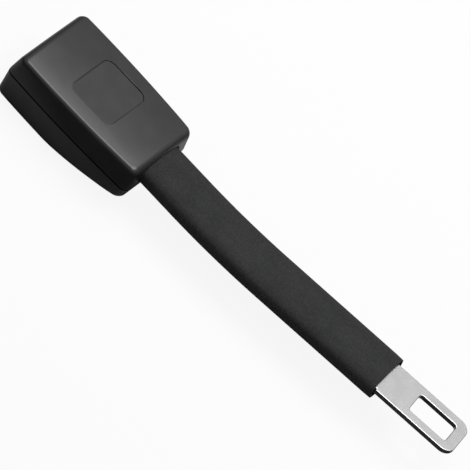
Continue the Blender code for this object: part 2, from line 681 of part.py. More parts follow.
def ejector(builder, material):
    """The slider that throws the belt's tongue out, with ribs in the frame's guide slots."""
    bm = bmesh.new()
    half_width = FLANGE_INNER - SLIDE_FIT
    low = CHANNEL_BOTTOM + 0.2 * MM
    high = FRAME_UNDER - SLIDE_FIT
    outline = rounded_rectangle((0.0, EJECTOR_LENGTH), (-half_width, half_width), 1.2 * MM, 3)
    prism(bm, outline, low, high, plan)
    slider = builder.add("ejector", bm, material, (EJECTOR_FRONT, 0.0, 0.0))
    ribs = bmesh.new()
    middle = CHANNEL_MIDDLE
    reach = FRAME_HALF_WIDTH + 0.2 * MM
    half = 0.5 * EJECTOR_RIB_HEIGHT
    block(ribs, (0.5 * MM, EJECTOR_LENGTH - 0.5 * MM), (-reach, reach), (middle - half, middle + half))
    builder.combine(slider, "ejector_ribs", ribs, "UNION", origin=slider.location)
    pocket = bmesh.new()
    radius = EJECTOR_SPRING_RADIUS + WIRE_RADIUS + FIT
    outline = circle(0.0, middle, radius, 12)
    prism(pocket, outline, EJECTOR_LENGTH - EJECTOR_POCKET_DEPTH, EJECTOR_LENGTH + MM, end)
    builder.combine(slider, "ejector_pocket", pocket, origin=slider.location)


def coil(length, radius):
    """Points along a compression spring that starts at its origin and runs up its Z axis."""
    turns = max(2, round(length / WIRE_PITCH))
    count = turns * COIL_STEPS
    points = []
    for i in range(count + 1):
        a = 2.0 * math.pi * i / COIL_STEPS
        points.append((radius * math.cos(a), radius * math.sin(a), length * i / count))
    return points


def springs(builder, material):
    """The latch's spring stands up; the others lie along X."""
    low = underside(LATCH_SPRING_X) + LOWER_WALL + FIT + WIRE_RADIUS
    high = LATCH_UNDER - FIT - WIRE_RADIUS
    builder.wire(
        "latch_spring", coil(high - low, LATCH_SPRING_RADIUS), WIRE_RADIUS, material,
        (LATCH_SPRING_X, 0.0, low), 1)
    for name, sign in (("button_spring_left", -1.0), ("button_spring_right", 1.0)):
        points = [(z, x, y) for x, y, z in coil(BUTTON_SPRING_LENGTH, BUTTON_SPRING_RADIUS)]
        place = (BUTTON_SPRING_X, sign * BUTTON_SPRING_Y, BUTTON_MIDDLE)
        builder.wire(name, points, WIRE_RADIUS, material, place, 1)
    start = EJECTOR_FRONT + EJECTOR_LENGTH - EJECTOR_POCKET_DEPTH + FIT + WIRE_RADIUS
    stop = FRAME_END + 0.5 * TAIL_RUN - 0.9 * SHEET
    points = [(z, x, y) for x, y, z in coil(stop - start, EJECTOR_SPRING_RADIUS)]
    builder.wire("ejector_spring", points, WIRE_RADIUS, material, (start, 0.0, CHANNEL_MIDDLE), 1)


def arm_point(distance, across=0.0, height=0.0):
    """A point on the arm's centre line at a distance from the button end, or beside or above it."""
    radius = BEND_LENGTH / BEND_ANGLE
    along = min(max(distance - BEND_START, 0.0), BEND_LENGTH)
    turn = BEND_ANGLE * along / BEND_LENGTH
    x = min(distance, BEND_START) + radius * math.sin(turn)
    y = radius * (1.0 - math.cos(turn))
    beyond = max(distance - BEND_END, 0.0)
    x += beyond * math.cos(turn) - across * math.sin(turn)
    y += beyond * math.sin(turn) + across * math.cos(turn)
    return (x, y, ARM_HEIGHT + height)


def arm_stations(start, stop, spacing):
    """Distances along the arm: its ends, the bend's ends, and even steps through the bend."""
    steps = max(2, round(BEND_LENGTH / spacing))
    bend = [BEND_START + BEND_LENGTH * i / steps for i in range(steps + 1)]
    return [start] + bend + [stop]


def arm_sleeve(builder, material):
    """The flat oval plastic tube round the cables."""
    outer = superellipse(SLEEVE_HALF_WIDTH, SLEEVE_HALF_HEIGHT, SLEEVE_POWER, SLEEVE_SIDES)
    inner = superellipse(
        SLEEVE_HALF_WIDTH - SLEEVE_WALL, SLEEVE_HALF_HEIGHT - SLEEVE_WALL, SLEEVE_POWER, SLEEVE_SIDES)
    stations = arm_stations(SLEEVE_START, SLEEVE_END, 5.0 * MM)
    rings = [[arm_point(s, y, z) for y, z in outer] for s in stations]
    rings += [[arm_point(s, y, z) for y, z in inner] for s in reversed(stations)]
    bm = bmesh.new()
    skin(bm, rings, wrap=True)
    builder.add("arm_sleeve", bm, material)


def cables(builder, material):
    """The two cables in the arm, from one clamp to the other."""
    start = CLAMP_START + CLAMP_PLATE_DEPTH + FIT
    stop = TONGUE_CLAMP_END - CLAMP_PLATE_DEPTH - FIT
    stations = arm_stations(start, stop, 7.0 * MM)
    for name, sign in (("cable_left", -1.0), ("cable_right", 1.0)):
        points = [arm_point(s, sign * CABLE_SPREAD) for s in stations]
        builder.wire(name, points, CABLE_RADIUS, material)


def clamp(builder, name, material, origin, turn):
    """A clamp block, measured from the end that its plate goes into, with the cables at the other."""
    bm = bmesh.new()
    outline = superellipse(CLAMP_HALF_WIDTH, CLAMP_HALF_HEIGHT, SLEEVE_POWER, 24)
    prism(bm, outline, 0.0, CLAMP_LENGTH, end)
    body = builder.add(name, bm, material, origin, turn)
    slot = bmesh.new()
    half_width = TAIL_HALF_WIDTH + FIT
    half_height = 0.5 * SHEET + FIT
    block(slot, (-MM, CLAMP_PLATE_DEPTH), (-half_width, half_width), (-half_height, half_height))
    builder.combine(body, name + "_slot", slot, turn=turn, origin=origin)
    bores = bmesh.new()
    for sign in (-1.0, 1.0):
        outline = circle(sign * CABLE_SPREAD, 0.0, CABLE_RADIUS + FIT, 16)
        prism(bores, outline, CLAMP_LENGTH - CABLE_EMBED, CLAMP_LENGTH + MM, end)
    builder.combine(body, name + "_bores", bores, turn=turn, origin=origin)
    holes = bmesh.new()
    for sign in (-1.0, 1.0):
        rivet_shape(holes, sign * RIVET_SPREAD, FIT, MM)
    builder.combine(body, name + "_rivet_holes", holes, turn=turn, origin=origin)


def rivet_shape(bm, y, grow, overrun):
    """A flush rivet through the clamp, turned about its own axis: two cones on a shank."""
    head = RIVET_HEAD_RADIUS + grow
    shank = RIVET_RADIUS + grow
    top = CLAMP_HALF_HEIGHT - 0.25 * MM + overrun
    neck = CLAMP_HALF_HEIGHT - 0.25 * MM - RIVET_HEAD_DEPTH - grow
    profile = [(head, -top), (head, -neck - 0.5 * RIVET_HEAD_DEPTH), (shank, -neck)]
    profile += [(r, -z) for r, z in reversed(profile)]
    rings = [[(RIVET_FROM_MOUTH + u, y + v, z) for u, v in circle(0.0, 0.0, r, 14)] for r, z in profile]
    rows = skin(bm, rings)
    bm.faces.new(rows[0])
    bm.faces.new(rows[-1])


def rivets(builder, material, ends):
    """Two rivets side by side in each clamp."""
    for place_name, origin, turn in ends:
        for hand, sign in (("left", -1.0), ("right", 1.0)):
            bm = bmesh.new()
            rivet_shape(bm, sign * RIVET_SPREAD, 0.0, 0.0)
            builder.add(f"rivet_{place_name}_{hand}", bm, material, origin, turn)


def tongue_outline():
    """The tongue's plan, measured from the clamp's mouth: a narrow tail, then the plate and its tip."""
    mouth = TONGUE_CLAMP_END
    tip = TONGUE_END - mouth
    neck = 0.6 * MM
    half = [(-CLAMP_PLATE_DEPTH + FIT, TAIL_HALF_WIDTH), (neck, TAIL_HALF_WIDTH), (neck, TONGUE_HALF_WIDTH)]
    steps = 8
    for i in range(steps + 1):
        a = 0.5 * math.pi * i / steps
        across = TONGUE_HALF_WIDTH - TONGUE_TIP_RADIUS * (1.0 - math.cos(a))
        crown = TONGUE_TIP_CROWN * (across / TONGUE_HALF_WIDTH) ** 2
        half.append((tip - crown - TONGUE_TIP_RADIUS * (1.0 - math.sin(a)), across))
    crown_steps = 3
    for i in range(1, crown_steps):
        across = (TONGUE_HALF_WIDTH - TONGUE_TIP_RADIUS) * (1.0 - i / crown_steps)
        half.append((tip - TONGUE_TIP_CROWN * (across / TONGUE_HALF_WIDTH) ** 2, across))
    return half + [(tip, 0.0)] + [(x, -y) for x, y in reversed(half)]


def tongue(builder, material, origin, turn):
    """The stamped steel tongue, with its slot and softened edges."""
    bm = bmesh.new()
    half = 0.5 * TONGUE_THICKNESS
    prism(bm, tongue_outline(), -half, half, plan)
    plate = builder.add("tongue", bm, material, origin, turn)
    slot_stop = SLOT_END - TONGUE_CLAMP_END
    cut = bmesh.new()
    outline = rounded_rectangle(
        (slot_stop - SLOT_LENGTH, slot_stop), (-SLOT_HALF_WIDTH, SLOT_HALF_WIDTH), SLOT_RADIUS)
    prism(cut, outline, -TONGUE_THICKNESS, TONGUE_THICKNESS, plan)
    builder.combine(plate, "tongue_slot", cut, turn=turn, origin=origin)
    holes = bmesh.new()
    for sign in (-1.0, 1.0):
        outline = circle(-RIVET_FROM_MOUTH, sign * RIVET_SPREAD, RIVET_RADIUS + FIT, 16)
        prism(holes, outline, -TONGUE_THICKNESS, TONGUE_THICKNESS, plan)
    builder.combine(plate, "tongue_holes", holes, turn=turn, origin=origin)
    edge = plate.modifiers.new("edge", "BEVEL")
    edge.width = TONGUE_EDGE
    edge.segments = 2
    edge.limit_method = "ANGLE"
    edge.angle_limit = math.radians(60)


def main():
    """Clear the scene and build every piece."""
    for thing in list(bpy.data.objects):
        bpy.data.objects.remove(thing, do_unlink=True)
    black = finish("moulded_black", (0.035, 0.036, 0.038), 0.42, 0.0)
    red = finish("moulded_red", (0.55, 0.02, 0.015), 0.4, 0.0)
    natural = finish("moulded_natural", (0.6, 0.6, 0.56), 0.5, 0.0)
    satin = finish("sleeve_black", (0.03, 0.03, 0.032), 0.55, 0.0)
    cover_black = finish("cable_cover", (0.02, 0.02, 0.02), 0.6, 0.0)
    bright = finish("bright_steel", (0.62, 0.62, 0.61), 0.25, 1.0)
    plated = finish("plated_steel", (0.5, 0.5, 0.47), 0.35, 1.0)
    wire = finish("spring_wire", (0.4, 0.4, 0.4), 0.3, 1.0)
    builder = Builder()
    upper_cover(builder, black)
    lower_cover(builder, black)
    release_button(builder, red)
    buckle_frame(builder, plated)
    latch(builder, plated)
    latch_pin(builder, bright)
    ejector(builder, natural)
    springs(builder, wire)
    arm_sleeve(builder, satin)
    cables(builder, cover_black)
    buckle_end = (CLAMP_START, 0.0, ARM_HEIGHT)
    tongue_end = arm_point(TONGUE_CLAMP_END)
    back = BEND_ANGLE + math.pi
    clamp(builder, "cable_clamp_buckle", plated, buckle_end, 0.0)
    clamp(builder, "cable_clamp_tongue", plated, tongue_end, back)
    rivets(builder, bright, (("buckle", buckle_end, 0.0), ("tongue", tongue_end, back)))
    tongue(builder, bright, tongue_end, BEND_ANGLE)


main()
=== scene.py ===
"""The looks of a seat belt extender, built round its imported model.

The buckle's two covers, its button, the arm's sleeve and the tongue are modelled here as finer
pieces that stand for their solids. The works inside keep their solids and get a finish. Sizes are
in metres. Along the buckle, X is measured from the button end, and every piece is moved to the
model's origin when it is done.
"""

import logging
import math
from dataclasses import dataclass, field
from enum import Enum
from typing import Callable, Iterator, Mapping, Optional, Sequence, Union

import bmesh
import bpy
from mathutils import Matrix, Vector


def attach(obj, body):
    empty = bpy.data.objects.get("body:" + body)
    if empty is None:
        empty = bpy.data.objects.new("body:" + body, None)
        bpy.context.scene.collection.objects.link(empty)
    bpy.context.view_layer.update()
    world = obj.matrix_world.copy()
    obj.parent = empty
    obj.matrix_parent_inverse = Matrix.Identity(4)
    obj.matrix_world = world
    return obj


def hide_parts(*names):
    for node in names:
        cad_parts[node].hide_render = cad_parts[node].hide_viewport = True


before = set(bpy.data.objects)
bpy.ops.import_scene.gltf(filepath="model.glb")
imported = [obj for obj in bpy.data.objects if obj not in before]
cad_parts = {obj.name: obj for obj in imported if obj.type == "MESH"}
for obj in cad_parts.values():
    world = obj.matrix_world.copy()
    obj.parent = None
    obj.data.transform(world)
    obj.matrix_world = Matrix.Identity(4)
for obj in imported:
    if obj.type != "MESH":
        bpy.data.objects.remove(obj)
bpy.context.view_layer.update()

MM = 0.001
BUTTON_END = -17.5 * MM
CLOSE = 0.01 * MM  # points this near to a plane count as on it
BESIDE = 10.0 * CLOSE  # and this near, as beside it
LEVEL = 0.1 * CLOSE  # and this near, as in one row with it
OVERRUN = 1.0 * MM  # how far a tool reaches past what it cuts
FACING = 0.9  # from this cosine up, a direction counts as along an axis
ASIDE = 0.3  # and below this one, as across it
SLOPING = 0.7  # the cosine from which a sloping face counts as along an axis
DRAFTED = 0.5  # and the one below which a drafted face counts as across it

WHITE = (1.0, 1.0, 1.0, 1.0)

log = logging.getLogger("extender")

Span = tuple[float, float]
Triple = tuple[float, float, float]
Test = Callable[[Vector, Vector], bool]
Value = Union["Signal", bpy.types.NodeSocket, float, int, tuple, str, bool]
Part = Union[bmesh.types.BMVert, bmesh.types.BMEdge, bmesh.types.BMFace]


class Element(Enum):
    """What an operator works on in edit mode."""

    VERTEX = 0
    EDGE = 1
    FACE = 2


class Keep(Enum):
    """What is left after a mesh is cut by a plane."""

    BOTH = "both"
    BEHIND = "behind"
    AHEAD = "ahead"


class Coat(Enum):
    """How a metal surface got its last finish."""

    BRUSHED = "brushed"
    PLATED = "plated"
    DRAWN = "drawn"


class Signal:
    """A shader socket that takes part in sums, products and comparisons."""

    def __init__(self, recipe: "Recipe", socket: bpy.types.NodeSocket) -> None:
        """Wrap one output socket of a recipe."""
        self.recipe = recipe
        self.socket = socket

    def _maths(self, operation: str, *values: Value) -> "Signal":
        """Add one Math node.

        Args:
            operation: the Math node's operation.
            values: its inputs, in order.

        Returns:
            The node's result.
        """
        node = self.recipe.node("ShaderNodeMath", {"operation": operation}, dict(enumerate(values)))
        return Signal(self.recipe, node.outputs[0])

    def __add__(self, other: Value) -> "Signal":
        """This plus other."""
        return self._maths("ADD", self, other)

    def __radd__(self, other: Value) -> "Signal":
        """Other plus this."""
        return self._maths("ADD", other, self)

    def __sub__(self, other: Value) -> "Signal":
        """This less other."""
        return self._maths("SUBTRACT", self, other)

    def __rsub__(self, other: Value) -> "Signal":
        """Other less this."""
        return self._maths("SUBTRACT", other, self)

    def __mul__(self, other: Value) -> "Signal":
        """This times other."""
        return self._maths("MULTIPLY", self, other)

    def __rmul__(self, other: Value) -> "Signal":
        """Other times this."""
        return self._maths("MULTIPLY", other, self)

    def rise(self, low: float, high: float) -> "Signal":
        """A smooth step from 0 at low to 1 at high."""
        sockets = {"Value": self, "From Min": low, "From Max": high}
        node = self.recipe.node("ShaderNodeMapRange", {"interpolation_type": "SMOOTHSTEP"}, sockets)
        return Signal(self.recipe, node.outputs["Result"])


class Recipe:
    """The nodes of one material, or of the world."""

    def __init__(self, name: str, world: bool = False) -> None:
        """Start a material or a world of that name with nothing in it but its output."""
        self.material = bpy.data.worlds.new(name) if world else bpy.data.materials.new(name)
        self.material.use_nodes = True
        self.tree = self.material.node_tree
        self.tree.nodes.clear()
        self.output = self.node("ShaderNodeOutputWorld" if world else "ShaderNodeOutputMaterial")

    def node(
        self,
        kind: str,
        settings: Optional[Mapping[str, object]] = None,
        sockets: Optional[Mapping[Union[str, int], Value]] = None,
    ) -> bpy.types.Node:
        """Add a node.

        Args:
            kind: the node's type.
            settings: its own settings, which are set first.
            sockets: the value or the link of each named or numbered input.

        Returns:
            The new node.
        """
        node = self.tree.nodes.new(kind)
        for key, value in (settings or {}).items():
            setattr(node, key, value)
        for key, value in (sockets or {}).items():
            target = node.inputs[key]
            if isinstance(value, Signal):
                value = value.socket
            if isinstance(value, bpy.types.NodeSocket):
                self.tree.links.new(value, target)
            else:
                target.default_value = value
        return node

    def place(self, scale: Union[float, Triple], turn: float = 0.0) -> bpy.types.NodeSocket:
        """Object coordinates in millimetres, turned about Z and stretched.

        Args:
            scale: how often a pattern repeats for each millimetre, along all axes or along each.
            turn: the angle of the pattern's own X about Z.

        Returns:
            The vector to feed to a texture.
        """
        source = self.node("ShaderNodeTexCoord").outputs["Object"]
        turned = self.node("ShaderNodeMapping", {}, {"Vector": source, "Rotation": (0.0, 0.0, -turn)})
        size = tuple(value / MM for value in (scale if isinstance(scale, tuple) else (scale,) * 3))
        sockets = {"Vector": turned.outputs[0], "Scale": size}
        return self.node("ShaderNodeMapping", {}, sockets).outputs[0]

    def noise(self, vector: bpy.types.NodeSocket, detail: float, rough: float) -> Signal:
        """A noise from 0 to 1 with one cell for each unit of the vector."""
        sockets = {"Vector": vector, "Scale": 1.0, "Detail": detail, "Roughness": rough}
        return Signal(self, self.node("ShaderNodeTexNoise", {}, sockets).outputs["Fac"])

    def cells(self, vector: bpy.types.NodeSocket) -> Mapping[str, bpy.types.NodeSocket]:
        """The outputs of a Voronoi texture with one cell for each unit of the vector."""
        return self.node("ShaderNodeTexVoronoi", {}, {"Vector": vector, "Scale": 1.0}).outputs

    def blend(self, factor: Value, first: Value, second: Value) -> bpy.types.NodeSocket:
        """A colour between two others.

        Args:
            factor: 0 for the first and 1 for the second.
            first: a colour of three numbers, or a socket.
            second: the same.

        Returns:
            The mixed colour.
        """
        colours = [(*c, 1.0) if isinstance(c, tuple) else c for c in (first, second)]
        sockets = {0: factor, 6: colours[0], 7: colours[1]}
        return self.node("ShaderNodeMix", {"data_type": "RGBA"}, sockets).outputs[2]

    def bump(
        self, height: Signal, depth: float, before: Optional[bpy.types.NodeSocket] = None
    ) -> bpy.types.NodeSocket:
        """A bumped normal.

        Args:
            height: the relief, from 0 to 1.
            depth: how deep a relief of 1 is, in metres.
            before: a normal that this relief is added to.

        Returns:
            The normal to feed to a shader or to the next bump.
        """
        sockets = {"Height": height, "Strength": 1.0, "Distance": depth}
        if before is not None:
            sockets["Normal"] = before
        return self.node("ShaderNodeBump", {}, sockets).outputs[0]

    def surface(self, sockets: Mapping[str, Value]) -> bpy.types.Material:
        """Close the recipe with one Principled shader.

        Args:
            sockets: the value or link of each of the shader's inputs.

        Returns:
            The finished material.
        """
        shader = self.node("ShaderNodeBsdfPrincipled", {}, sockets)
        self.tree.links.new(shader.outputs[0], self.output.inputs["Surface"])
        return self.material


@dataclass(frozen=True)
class MouldedPlastic:
    """Plastic moulded in a spark-eroded mould: a fine even grain with a soft gloss."""

    name: str
    colour: Triple
    cloud: Triple
    gloss_low: float
    gloss_high: float
    cloud_per_mm: float = 0.11
    cloud_share: float = 0.6
    cloud_span: Span = (0.35, 0.7)
    gloss_span: Span = (0.3, 0.7)
    grain_per_mm: float = 2.6
    grain_depth: float = 0.0045 * MM
    pit_share: float = 0.4
    pit_span: Span = (0.1, 0.75)
    mark_per_mm: Triple = (0.9, 0.16, 0.5)
    mark_share: float = 0.4
    mark_span: Span = (0.45, 0.75)
    wave_per_mm: float = 0.05
    wave_depth: float = 0.05 * MM

    def material(self) -> bpy.types.Material:
        """Mix the finish.

        Returns:
            The material: cloudy colour, grain in its bump, and handling marks in its gloss.
        """
        recipe = Recipe(self.name)
        slow = recipe.noise(recipe.place(self.cloud_per_mm), detail=3.0, rough=0.6)
        grain_place = recipe.place(self.grain_per_mm)
        grain = recipe.noise(grain_place, detail=3.0, rough=0.55)
        pits = Signal(recipe, recipe.cells(grain_place)["Distance"])
        marks = recipe.noise(recipe.place(self.mark_per_mm), detail=4.0, rough=0.65)
        wave = recipe.noise(recipe.place(self.wave_per_mm), detail=1.0, rough=0.4)
        relief = grain * (1.0 - self.pit_share) + pits.rise(*self.pit_span) * self.pit_share
        spread = self.gloss_high - self.gloss_low
        gloss = self.gloss_low + slow.rise(*self.gloss_span) * ((1.0 - self.mark_share) * spread)
        shade = slow.rise(*self.cloud_span) * self.cloud_share + grain * (1.0 - self.cloud_share)
        return recipe.surface({
            "Base Color": recipe.blend(shade, self.colour, self.cloud),
            "Roughness": gloss + marks.rise(*self.mark_span) * (self.mark_share * spread),
            "Normal": recipe.bump(relief, self.grain_depth, recipe.bump(wave, self.wave_depth)),
            "IOR": 1.49,
            "Specular IOR Level": 0.5,
        })


@dataclass(frozen=True)
class DrawnSleeve:
    """Black plastic tube drawn through a die: faint lines along it, a fine tooth, and a speckle."""

    name: str
    colour: Triple
    cloud: Triple
    gloss_low: float = 0.46
    gloss_high: float = 0.58
    gloss_span: Span = (0.3, 0.7)
    gloss_per_mm: Triple = (0.09, 0.16, 0.16)
    line_per_metre: Triple = (12.0, 2600.0, 1.0)
    line_depth: float = 0.02 * MM
    line_share: float = 0.25
    line_gloss: float = 0.04
    tooth_per_metre: Triple = (1900.0, 900.0, 1.0)
    tooth_depth: float = 0.02 * MM
    tooth_share: float = 0.6
    speckle_per_mm: float = 1.2
    speckle_span: Span = (0.36, 0.64)

    def material(self) -> bpy.types.Material:
        """Mix the finish.

        Returns:
            The material. Its lines follow the tube's own map: U runs along it and V round it.
        """
        recipe = Recipe(self.name)
        run = recipe.node("ShaderNodeUVMap", {"uv_map": Sleeve.MAP}).outputs[0]
        places = (
            recipe.node("ShaderNodeMapping", {}, {"Vector": run, "Scale": scale}).outputs[0]
            for scale in (self.line_per_metre, self.tooth_per_metre))
        lines, tooth = (
            recipe.noise(place, detail, rough=0.6) for place, detail in zip(places, (3.0, 2.0)))
        slow = recipe.noise(recipe.place(self.gloss_per_mm), detail=4.0, rough=0.6)
        fine = recipe.noise(recipe.place(self.speckle_per_mm), detail=3.0, rough=0.6)
        relief = tooth * self.tooth_share + fine * (1.0 - self.tooth_share)
        spread = self.gloss_high - self.gloss_low
        gloss = self.gloss_low + slow.rise(*self.gloss_span) * spread
        shade = fine.rise(*self.speckle_span) * (1.0 - self.line_share) + lines * self.line_share
        return recipe.surface({
            "Base Color": recipe.blend(shade, self.colour, self.cloud),
            "Roughness": gloss + lines * self.line_gloss,
            "Normal": recipe.bump(relief, self.tooth_depth, recipe.bump(lines, self.line_depth)),
            "IOR": 1.48,
            "Specular IOR Level": 0.2,
            "Sheen Weight": 0.02,
            "Sheen Roughness": 0.5,
        })


@dataclass(frozen=True)
class Metal:
    """A metal surface, by the way it was finished."""

    name: str
    colour: Triple
    cloud: Triple
    coat: Coat
    gloss_low: float
    gloss_high: float
    turn: float = 0.0
    stretch: Triple = (0.06, 5.0, 5.0)
    line_depth: float = 0.004 * MM
    line_share: float = 0.8
    crystal_per_mm: float = 0.55
    plated_per_mm: float = 2.4
    fine_per_mm: float = 1.6
    cloud_per_mm: float = 0.14
    cloud_span: Span = (0.3, 0.7)
    pattern_share: float = 0.45
    cloud_share: float = 0.4
    fine_share: float = 0.15

    def material(self) -> bpy.types.Material:
        """Mix the finish.

        Returns:
            The material: lines where the metal is brushed or drawn, and crystals where it is plated.
        """
        recipe = Recipe(self.name)
        slow = recipe.noise(recipe.place(self.cloud_per_mm), detail=3.0, rough=0.6)
        if self.coat is Coat.PLATED:
            crystal = {0: recipe.cells(recipe.place(self.crystal_per_mm))["Color"]}
            pattern = Signal(recipe, recipe.node("ShaderNodeSeparateColor", {}, crystal).outputs[0])
            fine = recipe.noise(recipe.place(self.plated_per_mm), detail=3.0, rough=0.6)
            relief = fine
        else:
            pattern = recipe.noise(recipe.place(self.stretch, self.turn), detail=4.0, rough=0.65)
            fine = recipe.noise(recipe.place(self.fine_per_mm), detail=2.0, rough=0.5)
            relief = pattern * self.line_share + fine * (1.0 - self.line_share)
        shade = pattern * self.pattern_share + slow.rise(*self.cloud_span) * self.cloud_share
        shade = shade + fine * self.fine_share
        return recipe.surface({
            "Base Color": recipe.blend(shade, self.colour, self.cloud),
            "Roughness": self.gloss_low + shade * (self.gloss_high - self.gloss_low),
            "Normal": recipe.bump(relief, self.line_depth),
            "Metallic": 1.0,
        })


@dataclass(frozen=True)
class StudioFloor:
    """A pale floor: plain white to the camera and to metal, and still under the object's shadow."""

    name: str = "studio_floor"
    colour: Triple = (0.7, 0.7, 0.7)
    speck: Triple = (0.686, 0.686, 0.686)
    speck_per_mm: float = 0.02
    glow: float = 1.0
    hold: float = 0.9

    def material(self) -> bpy.types.Material:
        """Mix the finish.

        Returns:
            The material: matt paint, mostly hidden behind a glow from rays that see the floor itself.
        """
        recipe = Recipe(self.name)
        path = recipe.node("ShaderNodeLightPath").outputs
        camera, glossy, through = (
            Signal(recipe, path[f"Is {kind} Ray"]) for kind in ("Camera", "Glossy", "Transmission"))
        seen = camera + glossy + through
        speck = recipe.noise(recipe.place(self.speck_per_mm), detail=2.0, rough=0.5)
        paint = recipe.blend(speck, self.colour, self.speck)
        matt = recipe.node("ShaderNodeBsdfDiffuse", {}, {"Color": paint, "Roughness": 0.6})
        glow = recipe.node("ShaderNodeEmission", {}, {"Color": WHITE, "Strength": self.glow})
        sockets = {0: seen * self.hold, 1: matt.outputs[0], 2: glow.outputs[0]}
        mixed = recipe.node("ShaderNodeMixShader", {}, sockets)
        recipe.tree.links.new(mixed.outputs[0], recipe.output.inputs["Surface"])
        return recipe.material


@dataclass(frozen=True)
class Card:
    """A matt card under the object, which only reflections meet: black near the camera, then grey."""

    name: str
    black: Triple = (0.02, 0.02, 0.02)
    grey: Triple = (0.3, 0.3, 0.3)
    black_from: float = -0.06
    black_to: float = -0.034
    slant: float = 0.33

    def material(self) -> bpy.types.Material:
        """Mix the finish.

        Returns:
            The material.
        """
        recipe = Recipe(self.name)
        spot = recipe.node("ShaderNodeNewGeometry").outputs["Position"]
        parts = recipe.node("ShaderNodeSeparateXYZ", {}, {0: spot}).outputs
        reach = Signal(recipe, parts[1]) - Signal(recipe, parts[0]) * self.slant
        paint = recipe.blend(reach.rise(self.black_from, self.black_to), self.black, self.grey)
        return recipe.surface({"Base Color": paint, "Roughness": 0.9, "Specular IOR Level": 0.1})


